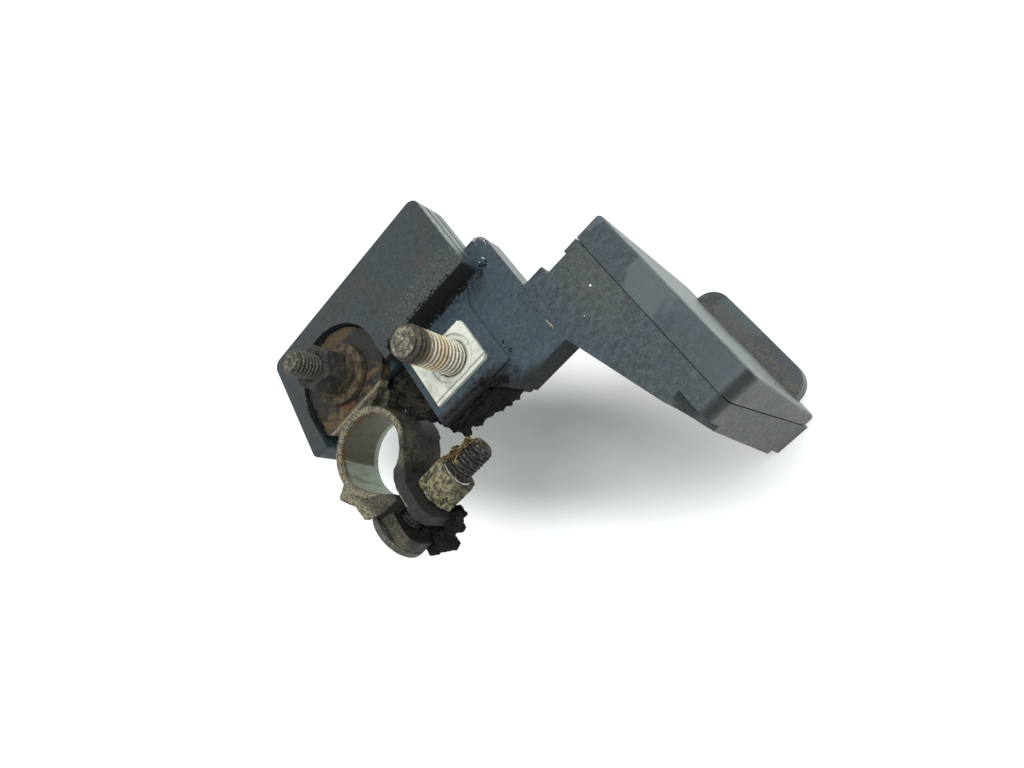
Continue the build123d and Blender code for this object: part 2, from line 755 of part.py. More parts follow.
# --- Carrier: slab, pad, arm and fuse box body in one moulding --------------------------------
with BuildPart() as carrier:
    with BuildSketch(Plane.XY.offset(slab_bottom)) as slab_outline:
        with BuildLine():
            Polyline(
                (slab_left, slab_horn_y),
                (horn_inner, slab_horn_y),
                (horn_inner, slab_front_y),
                (recess_wall_start, slab_front_y),
                (recess_wall_start, recess_wall_y),
                (slab_end, recess_wall_y),
                (slab_end, slab_far),
                (slab_left_far, slab_far_left),
                close=True,
            )
        make_face()
        fillet(slab_outline.vertices().sort_by(Axis.Y)[-2:], slab_corner)
        horn_tip = slab_outline.vertices().sort_by_distance((slab_left, slab_horn_y))[0]
        fillet(horn_tip, slab_horn_corner)
        end_tip = slab_outline.vertices().sort_by_distance((slab_end, recess_wall_y))[0]
        fillet(end_tip, slab_end_corner)
    extrude(amount=slab_top - slab_bottom)
    slab_rim = carrier.faces().sort_by(Axis.Z)[-1].edges()
    fillet(slab_rim, slab_edge)
    # two fine grooves along the end wall
    for level in groove_levels:
        with BuildSketch(Plane.YZ.offset(slab_end - groove_depth)):
            with Locations(((recess_wall_y + slab_far) / 2, level)):
                Rectangle(slab_far - recess_wall_y - 2 * slab_corner, groove_width)
        extrude(amount=groove_depth, mode=Mode.SUBTRACT)
    # pad block and arm
    with BuildSketch(Plane.XY.offset(pad_bottom)) as pad_outline:
        with BuildLine():
            Polyline(
                (pad_left, recess_wall_y + skin),
                (pad_left, pad_front),
                (arm_shoulder_x, pad_front),
                (arm_front_start, arm_front),
                (box_slant_near_x, arm_front),
                (notch_boss_x, arm_front),
                (notch_boss_x, notch_y),
                (arm_end_x, notch_y),
                (arm_end_x, arm_end_far),
                (slab_end - skin, arm_end_far),
                (slab_end - skin, recess_wall_y + skin),
                close=True,
            )
        make_face()
        far_tip = pad_outline.vertices().sort_by_distance((arm_end_x, arm_end_far))[0]
        fillet(far_tip, arm_corner)
        near_tip = pad_outline.vertices().sort_by_distance((arm_front_start, arm_front))[0]
        fillet(near_tip, arm_front_corner)
    extrude(amount=arm_top - pad_bottom)
    with BuildSketch(Plane.XY.offset(arm_bottom)):
        with Locations((arm_front_start + arm_front_corner, arm_front)):
            Rectangle(
                notch_boss_x - arm_front_start - arm_front_corner,
                notch_y - arm_front,
                align=(Align.MIN, Align.MIN),
            )
    extrude(amount=arm_top - arm_bottom)
    # the pad stands a little above the arm
    with BuildSketch(Plane.XY.offset(arm_top)):
        with BuildLine():
            Polyline(
                (pad_left, recess_wall_y + skin),
                (pad_left, pad_front),
                (pad_step_x, pad_front),
                (pad_step_x, recess_wall_y - pad_step_run[0]),
                (pad_step_x + pad_step_jog, recess_wall_y - pad_step_run[1]),
                (pad_step_x + pad_step_jog, recess_wall_y + skin),
                close=True,
            )
        make_face()
    extrude(amount=pad_step_height)
    # fuse box body
    with BuildSketch(Plane.XY.offset(box_bottom)):
        with BuildLine():
            Polyline(
                (box_slant_near_x, box_slant_near_y),
                (box_slant_far_x, box_front),
                (seam_bottom_x + past, box_front),
                (seam_bottom_x + past, box_back),
                (arm_end_x, box_back),
                close=True,
            )
        make_face()
    extrude(amount=box_top - box_bottom)
    roof_end = carrier.edges().filter_by(Axis.X).group_by(Axis.Y)[0].sort_by(Axis.Z)[-1]
    fillet(roof_end, box_edge_radius)
    # rim flange beside the seam
    with BuildSketch(Plane.XZ.offset(-lid_end)):
        with BuildLine():
            Polyline(
                (seam_x(box_top) - rim_flange_width, box_top),
                (seam_bottom_x + past, box_top),
                (seam_bottom_x + past, box_bottom),
                (seam_x(box_bottom) - rim_flange_width, box_bottom),
                close=True,
            )
        make_face()
    extrude(amount=rim_flange)
    split(bisect_by=seam_plane(0), keep=Keep.BOTTOM)
    # the bottom steps up behind the cable outlets
    with BuildSketch(Plane.XY.offset(box_bottom)):
        with Locations((step_x, box_front)):
            Rectangle(
                step_x - box_slant_near_x + past,
                box_back - box_front,
                align=(Align.MAX, Align.MIN),
            )
    extrude(amount=step_height, mode=Mode.SUBTRACT)
    # scoop in the roof's end corner, with a large concave fillet
    with BuildSketch(Plane.YZ.offset(scoop_x)) as scoop:
        with BuildLine():
            Polyline(
                (scoop_y, box_top),
                (scoop_y, scoop_floor),
                (box_front, scoop_floor),
                (box_front, box_top),
                close=True,
            )
        make_face()
        fillet(scoop.vertices().sort_by_distance((scoop_y, scoop_floor))[0], scoop_radius)
    extrude(amount=box_slant_near_x - scoop_x, mode=Mode.SUBTRACT)
    # round mark where the moulding was pushed out
    with BuildSketch(Plane((mark_x, mark_y, box_top - mark_depth))):
        Circle(mark_radius)
    extrude(amount=mark_depth, mode=Mode.SUBTRACT)
    # fuse cavity, deeper between the two ledges that carry the studs
    with BuildSketch(Plane.YZ.offset(ledge_face)):
        with Locations((cavity_front, cavity_bottom)):
            Rectangle(
                cavity_end - cavity_front,
                box_top - box_roof - cavity_bottom,
                align=(Align.MIN, Align.MIN),
            )
    extrude(amount=seam_bottom_x, mode=Mode.SUBTRACT)
    with BuildSketch(Plane.YZ.offset(cavity_back)):
        with Locations((fuse_middle, fuse_centre_z)):
            Rectangle(cavity_end - cavity_front, fuse_housing_length + 2 * housing_clearance)
    extrude(amount=ledge_face - cavity_back, mode=Mode.SUBTRACT)
    # battery side of the box, cored out between upright ribs
    core_height = core_top - (box_bottom + step_height) - core_wall
    core_width = (cavity_end - cavity_front - core_rib * (core_bays - 1)) / core_bays
    with BuildSketch(Plane.YZ.offset(cavity_back - core_wall)):
        with Locations((fuse_middle, core_top - core_height / 2)):
            with GridLocations(core_width + core_rib, 1, core_bays, 1):
                Rectangle(core_width, core_height)
    extrude(amount=arm_end_x - cavity_back, mode=Mode.SUBTRACT)
    # cable outlets through the bottom wall, open towards the lid
    outlet_x = ledge_face + notch_back_gap + notch_width / 2
    with BuildSketch(Plane.XY.offset(box_bottom)):
        with Locations([(outlet_x, y) for y in fuse_ys]):
            Circle(notch_width / 2)
            Rectangle(
                seam_bottom_x,
                notch_width,
                align=(Align.MIN, Align.CENTER),
            )
    extrude(amount=box_floor, mode=Mode.SUBTRACT)
    # pocket for the clamp's tab
    with BuildSketch(Plane.XY.offset(tab_under)):
        with Locations((tab_stud_x, tab_stud_y)):
            Circle(pocket_radius)
            Rectangle(2 * pocket_radius, 2 * pocket_radius, align=(Align.CENTER, Align.MAX))
    extrude(amount=slab_top - tab_under, mode=Mode.SUBTRACT)
    # underside of the slab, cored out between ribs
    core_pitch = cell + rib
    core_x = slab_left + skin + core_pitch / 2
    core_y = slab_far_left - skin - core_pitch
    with BuildSketch(Plane.XY.offset(slab_bottom)):
        with Locations((core_x + (tab_cells - 1) / 2 * core_pitch, core_y)):
            with GridLocations(core_pitch, core_pitch, tab_cells, cell_rows):
                Rectangle(cell, cell)
        with Locations((tab_stud_x, tab_stud_y)):
            Circle(tab_head_flats / 2 + skin, mode=Mode.SUBTRACT)
    extrude(amount=link_under - skin - slab_bottom, mode=Mode.SUBTRACT)
    with BuildSketch(Plane.XY.offset(slab_bottom)):
        with Locations((core_x + (tab_cells + (end_cells - 1) / 2) * core_pitch, core_y)):
            with GridLocations(core_pitch, core_pitch, end_cells, cell_rows):
                Rectangle(cell, cell)
    extrude(amount=slab_top - skin - slab_bottom, mode=Mode.SUBTRACT)
    # sockets under the two stud heads
    with BuildSketch(Plane((tab_stud_x, tab_stud_y, slab_bottom))):
        RegularPolygon(tab_head_flats / 2, 6, major_radius=False)
    extrude(amount=link_under - slab_bottom, mode=Mode.SUBTRACT)
    with BuildSketch(Plane((cable_stud_x, cable_stud_y, pad_bottom))):
        RegularPolygon(cable_head_flats / 2, 6, major_radius=False, rotation=30)
    extrude(amount=feed_under - pad_bottom, mode=Mode.SUBTRACT)
    # seats of the metal parts that the moulding holds
    with BuildSketch(Plane((tab_stud_x, tab_stud_y, link_under))):
        Circle(tab_stud_radius + stud_clearance)
    extrude(amount=link_thickness, mode=Mode.SUBTRACT)
    add(link_plate.part, mode=Mode.SUBTRACT)
    add(feed_bar.part, mode=Mode.SUBTRACT)
    add(tab_stud.part, mode=Mode.SUBTRACT)
    add(cable_stud.part, mode=Mode.SUBTRACT)
    with BuildSketch(Plane.YZ.offset(ledge_face - fuse_stud_head)):
        with Locations([(y, level) for y in fuse_ys for level in stud_levels.values()]):
            Circle(fuse_stud_head_radius)
    extrude(amount=fuse_stud_head, mode=Mode.SUBTRACT)
carrier.part.label = "carrier"

# --- Lid --------------------------------------------------------------------------------------
with BuildPart() as lid:
    with BuildSketch(Plane.YZ.offset(seam_top_x)) as lid_outline:
        with BuildLine():
            Polyline(
                (box_front, lid_bottom),
                (box_front, box_top),
                (lid_end, box_top),
                (lid_end, lid_bottom),
                close=True,
            )
        make_face()
        fillet(lid_outline.vertices().sort_by_distance((box_front, box_top))[0], box_edge_radius)
        fillet(lid_outline.vertices().group_by(Axis.Y)[0], lid_corner)
    extrude(amount=lid_face - seam_top_x)
    fillet(lid.faces().sort_by(Axis.X)[-1].edges(), lid_edge)
    # hollow, with the same wall all round
    with BuildSketch(Plane.YZ.offset(seam_top_x)):
        offset(lid_outline.sketch_local, amount=-lid_wall)
    extrude(amount=lid_face - lid_wall - seam_top_x, mode=Mode.SUBTRACT)
    split(bisect_by=seam_plane(lid_gap), keep=Keep.TOP)
    # thumb tab
    with BuildSketch(Plane.XY.offset(thumb_low)) as thumb:
        with Locations((lid_face - lid_wall / 2, thumb_right)):
            Rectangle(
                thumb_reach + lid_wall / 2,
                thumb_left - thumb_right,
                align=(Align.MIN, Align.MIN),
            )
        fillet(thumb.vertices().group_by(Axis.X)[-1], thumb_corner)
    extrude(amount=thumb_thickness)
    # hinge film across the seam, under the roof's surface
    film_top = box_top - film_depth
    film_low = film_top - film_thickness
    with BuildSketch(Plane.XZ.offset(-cavity_end)):
        with BuildLine():
            Polyline(
                (seam_x(film_top), film_top),
                (seam_x(film_top) + lid_gap + lid_wall / 4, film_top),
                (seam_x(film_low) + lid_gap + lid_wall / 4, film_low),
                (seam_x(film_low), film_low),
                close=True,
            )
        make_face()
    extrude(amount=cavity_end - cavity_front)
    # lips that enter the body beside its end walls
    lip_top = box_top - box_roof - lip_drop
    lip_low = lid_bottom + 2 * lid_wall
    lip_outer = [cavity_front + lip_clearance, cavity_end - lip_clearance - lip_wall]
    with BuildSketch(Plane.XZ) as lip_side:
        with BuildLine():
            Polyline(
                (seam_x(lip_top) - lip_depth, lip_top),
                (lid_face - lid_wall, lip_top),
                (lid_face - lid_wall, lip_low),
                (seam_x(lip_low) - lip_depth, lip_low),
                close=True,
            )
        make_face()
    for y in lip_outer:
        extrude(lip_side.sketch.moved(Location((0, y + lip_wall, 0))), amount=lip_wall)
lid.part.label = "lid"

# --- Written files ----------------------------------------------------------------------------
os.makedirs("parts", exist_ok=True)
pieces = [
    post_clamp.part,
    clamp_bolt.part,
    clamp_nut,
    tab_stud.part,
    tab_washer.part,
    spring_washer.part,
    tab_nut,
    link_plate.part,
    cable_stud.part,
    feed_bar.part,
    carrier.part,
    lid.part,
] + fuse_parts
for piece in pieces:
    export_step(piece, f"parts/{piece.label}.step")
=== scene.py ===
import math
import random

import bmesh
import bpy
from mathutils import Matrix, Vector, noise


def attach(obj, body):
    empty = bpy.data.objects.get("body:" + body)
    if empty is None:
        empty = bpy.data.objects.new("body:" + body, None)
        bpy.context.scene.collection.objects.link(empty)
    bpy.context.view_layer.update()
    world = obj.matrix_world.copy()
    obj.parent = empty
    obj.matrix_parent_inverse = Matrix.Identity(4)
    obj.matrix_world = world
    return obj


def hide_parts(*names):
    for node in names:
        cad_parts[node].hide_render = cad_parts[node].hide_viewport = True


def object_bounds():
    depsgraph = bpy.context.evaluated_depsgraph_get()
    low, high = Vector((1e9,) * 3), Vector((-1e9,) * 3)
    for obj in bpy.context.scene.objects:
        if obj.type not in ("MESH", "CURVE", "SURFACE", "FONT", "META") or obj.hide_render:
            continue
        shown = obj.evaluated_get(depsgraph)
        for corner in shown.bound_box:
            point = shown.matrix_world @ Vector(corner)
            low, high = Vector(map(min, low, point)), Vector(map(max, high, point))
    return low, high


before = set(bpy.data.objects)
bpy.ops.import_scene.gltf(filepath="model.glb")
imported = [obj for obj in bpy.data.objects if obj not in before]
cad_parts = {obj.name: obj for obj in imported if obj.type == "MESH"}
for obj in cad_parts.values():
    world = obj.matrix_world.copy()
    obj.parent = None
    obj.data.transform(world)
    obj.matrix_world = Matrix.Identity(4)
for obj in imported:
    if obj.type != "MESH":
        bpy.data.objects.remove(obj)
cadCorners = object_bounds()
mm = 0.001
weldGap = 0.002  # corners closer than this, in millimetres, are one
slabTop, padTop, boxTop, clampTop = 15.6, 10.0, 9.5, 14.0  # millimetres above the origin
print("frame loaded:", len(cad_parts), "nodes")


# ---- small helpers for places and shapes

def point(x, y, z):
    return Vector((x, y, z)) * mm


def finishMesh(bm, name, body="holder", smooth=40.0):
    mesh = bpy.data.meshes.new(name)
    bm.to_mesh(mesh)
    bm.free()
    mesh.shade_smooth()
    mesh.set_sharp_from_angle(angle=math.radians(smooth))
    piece = bpy.data.objects.new(name, mesh)
    bpy.context.scene.collection.objects.link(piece)
    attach(piece, body)
    return piece


def mergedCopy(nodeName):
    # a node's loose triangles, joined into a closed shell
    bm = bmesh.new()
    bm.from_mesh(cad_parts[nodeName].data)
    bmesh.ops.remove_doubles(bm, verts=bm.verts, dist=weldGap * mm)
    return bm


def remeshed(bm, voxel):
    # even small quads all over, so that wear can bite into the shape
    mesh = bpy.data.meshes.new("remeshWork")
    bm.to_mesh(mesh)
    bm.free()
    work = bpy.data.objects.new("remeshWork", mesh)
    bpy.context.scene.collection.objects.link(work)
    cut = work.modifiers.new("voxels", "REMESH")
    cut.mode = "VOXEL"
    cut.voxel_size = voxel * mm
    graph = bpy.context.evaluated_depsgraph_get()
    result = bpy.data.meshes.new_from_object(work.evaluated_get(graph))
    fresh = bmesh.new()
    fresh.from_mesh(result)
    bpy.data.objects.remove(work)
    bpy.data.meshes.remove(result)
    bpy.data.meshes.remove(mesh)
    return fresh


def roughen(bm, layers, keepOut=None):
    # each layer is a grain size and a depth in millimetres; the skin only sinks
    bm.normal_update()
    moves = []
    for vert in bm.verts:
        sink = 0.0
        for size, depth, seed in layers:
            at = vert.co / (size * mm) + Vector((seed, -seed, 2 * seed))
            sink += depth * (0.5 + 0.5 * noise.fractal(at, 0.6, 2.1, 3))
        if keepOut:
            sink *= keepOut(vert.co / mm)
        moves.append(vert.normal * (-sink * mm))
    for vert, move in zip(bm.verts, moves):
        vert.co += move


# ---- shader helpers

def tint(red, green, blue):
    # a colour as a paint chart gives it, 0 to 255
    parts = []
    for part in (red, green, blue):
        part /= 255
        parts.append(part / 12.92 if part <= 0.04045 else ((part + 0.055) / 1.055) ** 2.4)
    return (*parts, 1.0)


class Value:
    def __init__(self, paint, socket):
        self.paint = paint
        self.socket = socket

    def maths(self, operation, first, second):
        return self.paint.node("ShaderNodeMath", {"operation": operation}, {0: first, 1: second})

    def __add__(self, other):
        return self.maths("ADD", self, other)

    def __radd__(self, other):
        return self.maths("ADD", other, self)

    def __sub__(self, other):
        return self.maths("SUBTRACT", self, other)

    def __rsub__(self, other):
        return self.maths("SUBTRACT", other, self)

    def __mul__(self, other):
        return self.maths("MULTIPLY", self, other)

    def __pow__(self, other):
        return self.maths("POWER", self, other)

    def most(self, *others):
        # the largest of several
        top = self
        for other in others:
            top = self.maths("MAXIMUM", top, other)
        return top


class Paint:
    def __init__(self, name, fixed=None, tree=None):
        if tree is None:
            self.material = bpy.data.materials.new(name)
            self.material.use_nodes = True
            tree = self.material.node_tree
            self.shader = tree.nodes["Principled BSDF"]
            for socketName, amount in (fixed or {}).items():
                self.shader.inputs[socketName].default_value = amount
        self.tree = tree

    def feed(self, socket, amount):
        if isinstance(amount, Value):
            self.tree.links.new(amount.socket, socket)
        else:
            socket.default_value = amount

    def node(self, kind, settings=None, inputs=None, output=0):
        made = self.tree.nodes.new(kind)
        for name, choice in (settings or {}).items():
            if name == "stops":
                for stop, (place, colour) in enumerate(choice):
                    ramp = made.color_ramp
                    spot = ramp.elements[stop] if stop < 2 else ramp.elements.new(place)
                    spot.position = place
                    spot.color = colour
            else:
                setattr(made, name, choice)
        for name, amount in (inputs or {}).items():
            self.feed(made.inputs[name], amount)
        return Value(self, made.outputs[output])

    def place(self, stretch=(1, 1, 1), turn=(0, 0, 0)):
        own = self.node("ShaderNodeTexCoord", output="Object")
        turned = tuple(math.radians(angle) for angle in turn)
        scale = tuple(part / mm for part in stretch)
        return self.node("ShaderNodeMapping", inputs={
            "Vector": own, "Rotation": turned, "Scale": scale})

    def split(self, vector):
        return [self.node("ShaderNodeSeparateXYZ", inputs={0: vector}, output=axis)
                for axis in ("X", "Y", "Z")]

    def axes(self):
        return self.split(self.place())

    def facing(self):
        return self.split(self.node("ShaderNodeTexCoord", output="Normal"))

    def grain(self, size, detail, roughness, stretch=(1, 1, 1), turn=(0, 0, 0)):
        return self.node("ShaderNodeTexNoise", inputs={
            "Vector": self.place(stretch, turn), "Scale": 1 / size,
            "Detail": detail, "Roughness": roughness})

    def rise(self, value, low, high):
        return self.node("ShaderNodeMapRange", {"interpolation_type": "SMOOTHSTEP"}, {
            "Value": value, "From Min": low, "From Max": high})

    def fall(self, value, low, high):
        return 1 - self.rise(value, low, high)

    def between(self, value, low, high, soft):
        return self.rise(value, low - soft, low + soft) * self.fall(value, high - soft, high + soft)

    def away(self, centre, across=(1, 1, 1)):
        # distance from a point, or from a line along the axis that across leaves out
        return self.node("ShaderNodeVectorMath", {"operation": "DISTANCE"}, {
            0: self.place(across), 1: centre}, "Value")

    def near(self, centre, inner, outer):
        return self.fall(self.away(centre), inner, outer)

    def mix(self, factor, first, second):
        return self.node("ShaderNodeMix", {"data_type": "RGBA"}, {0: factor, 6: first, 7: second}, 2)

    def ramp(self, value, stops):
        return self.node("ShaderNodeValToRGB", {"stops": stops}, {0: value})

    def coat(self, share, colour):
        # one more thin coat over the colour so far
        self.colour = self.mix(share, self.colour, colour)

    def finish(self, roughness, relief, metal=None):
        self.feed(self.shader.inputs["Base Color"], self.colour)
        self.feed(self.shader.inputs["Roughness"], roughness)
        if metal is not None:
            self.feed(self.shader.inputs["Metallic"], metal)
        bump = self.node("ShaderNodeBump", inputs={  # relief is a height in millimetres
            "Strength": 1.0, "Distance": mm, "Height": relief})
        self.feed(self.shader.inputs["Normal"], bump)
        return self.material


def dress(nodeName, material):
    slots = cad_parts[nodeName].data.materials
    slots.clear()
    slots.append(material)


# ---- black moulding of the carrier and the lid

mould = {
    "plain": tint(34, 43, 48),
    "blue": tint(36, 52, 60),
    "dust": tint(102, 114, 116),
    "warmDust": tint(104, 102, 86),
    "slab": tint(38, 43, 43),
    "pale": tint(168, 176, 168),
    "grimeAndShade": tint(9, 12, 14),
    "brown": tint(78, 60, 44),
    "endFilm": tint(36, 39, 36),
    "padBlue": tint(44, 66, 80),
    # grains: size in millimetres, detail, roughness, then stretch and turn
    "cloud": (9.0, 4.0, 0.6),
    "mottle": (1.4, 5.0, 0.65),
    "speckle": (0.35, 2.0, 0.5),
    "wiped": (0.9, 4.0, 0.6, (0.7, 1.1, 1), (0, 0, 40)),
    "endFace": (-46.2, -45.6), "endShare": 0.6,
}
# each coat's place in millimetres: where it starts and is full, or low, high and softness
carrierCoats = {
    "slabFilm": (13.5, 15.0), "slabShare": 0.5,
    "wideSmear": ((22.0, 33.0, slabTop), 0.5, 3.2), "smallSmear": ((37.0, 24.0, slabTop), 0.4, 2.0),
    "smearShare": 0.4,
    "wetEnd": (48.0, 58.0), "wetShare": 0.4,
    "scuff": (0.42, 4.0, 0.65, (0.7, 1.3, 1), (0, 0, 24)), "scuffShare": 0.24,
    "scuffBand": (14.5, 22.0, 2.0), "scuffStart": (14.0, 30.0),
    "blockSide": (17.0, 23.0), "boxSide": (50.0, 50.8), "boxSideStart": (2.0, 4.0), "sideDustLightShare": 0.55,
    "bendShadeStart": (60.0, 62.0), "bendShare": 0.55,
    "driftSeam": (58.0, 64.0), "driftReach": (-16.0, 0.0),
    "recessAlong": (17.0, 44.8, 0.6), "recessAcross": (12.0, 17.5, 0.6),
    "padEdge": (-4.6, -2.0), "padEnd": (35.5, 38.5),
    "armEdge": (-11.6, -10.2), "armEnd": (39.0, 47.0),
    "wallEnd": (51.5, 52.5), "wallTop": (9.2, 9.4),
    "corner": ((43.0, 13.0, boxTop), 1.0, 4.6), "shoulder": ((35.2, -10.6, 9.8), 2.8, 5.2),
    "underShadeTop": (3.0, 5.0), "underShadeEnd": (40, 50),
    "freckleStart": (50.0, 60.0), "freckleShare": 0.7,
}
lidCoats = {
    "dullPatch": (-18.0, -6.0, 1.0), "dullEnd": (6.0, 7.5), "dullShare": 0.4, "cleanShare": 0.3,
    "bendShare": 0.7,
    "tabFoot": (-34.9, -34.2, 0.2), "tabReach": (74.0, 77.6), "footShare": 0.35, "footDust": 0.6,
}


def mouldBase(paint):
    # satin black plastic under a thin uneven film of dust, wiped here and there
    cloud, mottle, speckle, wiped = [
        paint.grain(*mould[name]) for name in ("cloud", "mottle", "speckle", "wiped")]
    paint.colour = paint.mix(paint.rise(cloud, 0.35, 0.7), mould["plain"], mould["blue"])
    film = paint.rise(mottle, 0.36, 0.76) * 0.3 + paint.rise(wiped, 0.45, 0.72) * 0.22
    paint.coat(film, mould["dust"])
    paint.coat(paint.fall(wiped, 0.28, 0.44) * 0.3, mould["grimeAndShade"])
    paint.coat(paint.rise(speckle, 0.62, 0.74) * 0.13, mould["pale"])
    paint.coat(paint.fall(speckle, 0.28, 0.36) * 0.6, mould["grimeAndShade"])
    roughness = 0.34 + cloud * 0.12 + film * 0.5
    relief = mottle * 0.012 + speckle * 0.014
    return roughness, relief, cloud, mottle, speckle


def mouldEndDustAndShade(paint, y, ny, nz, bendShare):
    # the end face is evenly dusty, and the rounded edge above it gets painted shade
    paint.coat(paint.fall(y, *mould["endFace"]) * mould["endShare"], mould["endFilm"])
    bend = paint.between(ny, -0.88, -0.2, 0.12) * paint.rise(nz, 0.3, 0.5)
    paint.coat(bend * bendShare, mould["grimeAndShade"])


def carrierPaint():
    paint = Paint("carrierPlastic", {"Specular IOR Level": 0.42})
    coats = carrierCoats
    roughness, relief, cloud, mottle, speckle = mouldBase(paint)
    x, y, z = paint.axes()
    nx, ny, nz = paint.facing()
    upward = paint.rise(nz, 0.5, 0.9)
    # duller, warmer film on the slab round the clamp, with brown smears
    slab = paint.rise(z, *coats["slabFilm"])
    fine = paint.rise(paint.grain(0.55, 4.0, 0.7), 0.4, 0.72)
    paint.coat(slab * (coats["slabShare"] + fine * 0.15), mould["slab"])
    smear = paint.near(*coats["wideSmear"]) * paint.rise(mottle, 0.4, 0.6)
    smear = smear.most(paint.near(*coats["smallSmear"]))
    paint.coat(smear * slab * coats["smearShare"], mould["brown"])
    # the pad and the arm are bluer
    wetter = (1 - slab) * paint.fall(x, *coats["wetEnd"])
    paint.coat(wetter * coats["wetShare"], mould["padBlue"])
    # scuffs along the slab's recess edge
    scuff = paint.rise(paint.grain(*coats["scuff"]), 0.5, 0.68) * slab
    scuff = scuff * paint.between(y, *coats["scuffBand"]) * paint.rise(x, *coats["scuffStart"])
    paint.coat(scuff * coats["scuffShare"], mould["pale"])
    # side walls of slab and box facing +X get pale dust and painted light
    sideDustAndLight = paint.rise(nx, 0.6, 0.9) * (0.5 + paint.rise(mottle, 0.35, 0.6) * 0.5)
    boxSide = paint.rise(x, *coats["boxSide"]) * paint.rise(y, *coats["boxSideStart"])
    sideDustAndLight = sideDustAndLight * paint.rise(y, *coats["blockSide"]).most(boxSide)
    paint.coat(sideDustAndLight * coats["sideDustLightShare"], mould["pale"])
    mouldEndDustAndShade(paint, y, ny, nz, paint.rise(x, *coats["bendShadeStart"]) * coats["bendShare"])
    # olive dust drifts along the lid's seam
    drift = paint.rise(x + mottle * 8.0, *coats["driftSeam"]) * upward
    drift = drift * paint.rise(y + cloud * 20.0, *coats["driftReach"])
    paint.coat(drift * (0.02 + speckle * 0.26), mould["warmDust"])
    # black in the recess, down the arm's near wall and along the pad's lower edge: grime along the
    # edges and in spots, crud and painted shade on the recess walls and on walls facing -Y, painted
    # shade low down
    ragged = mottle * 4.0
    # recess walls: crud and painted shade
    recessCrudAndShade = paint.between(x, *coats["recessAlong"]) * paint.between(y, *coats["recessAcross"])
    recessCrudAndShade = recessCrudAndShade * paint.fall(upward, 0.1, 0.9)
    padEdge = paint.fall(y + ragged, *coats["padEdge"]) * paint.fall(x + ragged, *coats["padEnd"])
    armEdge = paint.fall(y + mottle * 3.0, *coats["armEdge"]) * paint.fall(x, *coats["armEnd"])
    # walls facing -Y: crud and painted shade
    wallCrudAndShade = paint.fall(ny, -0.9, -0.5) * paint.fall(x, *coats["wallEnd"])
    wallCrudAndShade = wallCrudAndShade * paint.fall(z, *coats["wallTop"])
    corner = paint.near(*coats["corner"]) * paint.rise(speckle, 0.5, 0.62)
    shoulder = paint.near(*coats["shoulder"]) * paint.rise(mottle, 0.3, 0.5)
    # painted shade low down
    underShade = paint.fall(z, *coats["underShadeTop"]) * paint.fall(x, *coats["underShadeEnd"])
    grimeAndShade = (recessCrudAndShade * 0.95).most(
        padEdge, armEdge * 0.9, wallCrudAndShade * 0.8, corner, shoulder * 0.9, underShade * 0.3)
    paint.coat(grimeAndShade, mould["grimeAndShade"])
    # dirt freckles on the roof near the seam
    freckle = paint.rise(paint.grain(0.5, 2.0, 0.5), 0.6, 0.66) * paint.rise(x, *coats["freckleStart"])
    paint.coat(freckle * coats["freckleShare"], mould["grimeAndShade"])
    return paint.finish(roughness + grimeAndShade * 0.35, relief + grimeAndShade * speckle * 0.12)


def lidPaint():
    paint = Paint("lidPlastic", {"Specular IOR Level": 0.5})
    coats = lidCoats
    roughness, relief, cloud, mottle, speckle = mouldBase(paint)
    x, y, z = paint.axes()
    nx, ny, nz = paint.facing()
    # the roof strip: dull patches, and clean bluish areas between them
    roof = paint.rise(nz, 0.6, 0.9)
    along = y + paint.grain(5.0, 3.0, 0.5) * 14.0
    film = paint.between(along, *coats["dullPatch"]) + paint.rise(along, *coats["dullEnd"])
    paint.coat(roof * film * coats["dullShare"], mould["dust"])
    paint.coat(roof * (1 - film) * coats["cleanShare"], mould["blue"])
    mouldEndDustAndShade(paint, y, ny, nz, coats["bendShare"])
    # uneven film of dust and a painted reflection on the outer face
    outerDustAndReflection = 0.1 + paint.rise(cloud, 0.35, 0.65) * 0.16 + paint.rise(mottle, 0.35, 0.7) * 0.12
    paint.coat(paint.rise(nx, 0.6, 0.9) * outerDustAndReflection, mould["pale"])
    # brown dirt where the thumb tab meets the face
    foot = paint.between(z, *coats["tabFoot"]) * paint.fall(x, *coats["tabReach"])
    foot = foot * paint.rise(mottle, 0.35, 0.6)
    paint.coat(foot * coats["footShare"], mould["brown"])
    paint.coat(foot * paint.rise(speckle, 0.4, 0.6) * coats["footDust"], mould["warmDust"])
    return paint.finish(roughness + roof * film * 0.15, relief)


dress("carrier", carrierPaint())
dress("lid", lidPaint())
print("mouldings painted")


# ---- dirty brass of the post clamp

brass = {
    "skin": tint(74, 70, 58),
    "dark": tint(22, 23, 24),
    "pale": tint(158, 152, 126),
    "bare": tint(172, 182, 168),
    "olive": tint(104, 101, 84),
    "rust": tint(118, 66, 28),
    "gold": tint(112, 92, 60),
    "slate": tint(46, 52, 58),
}
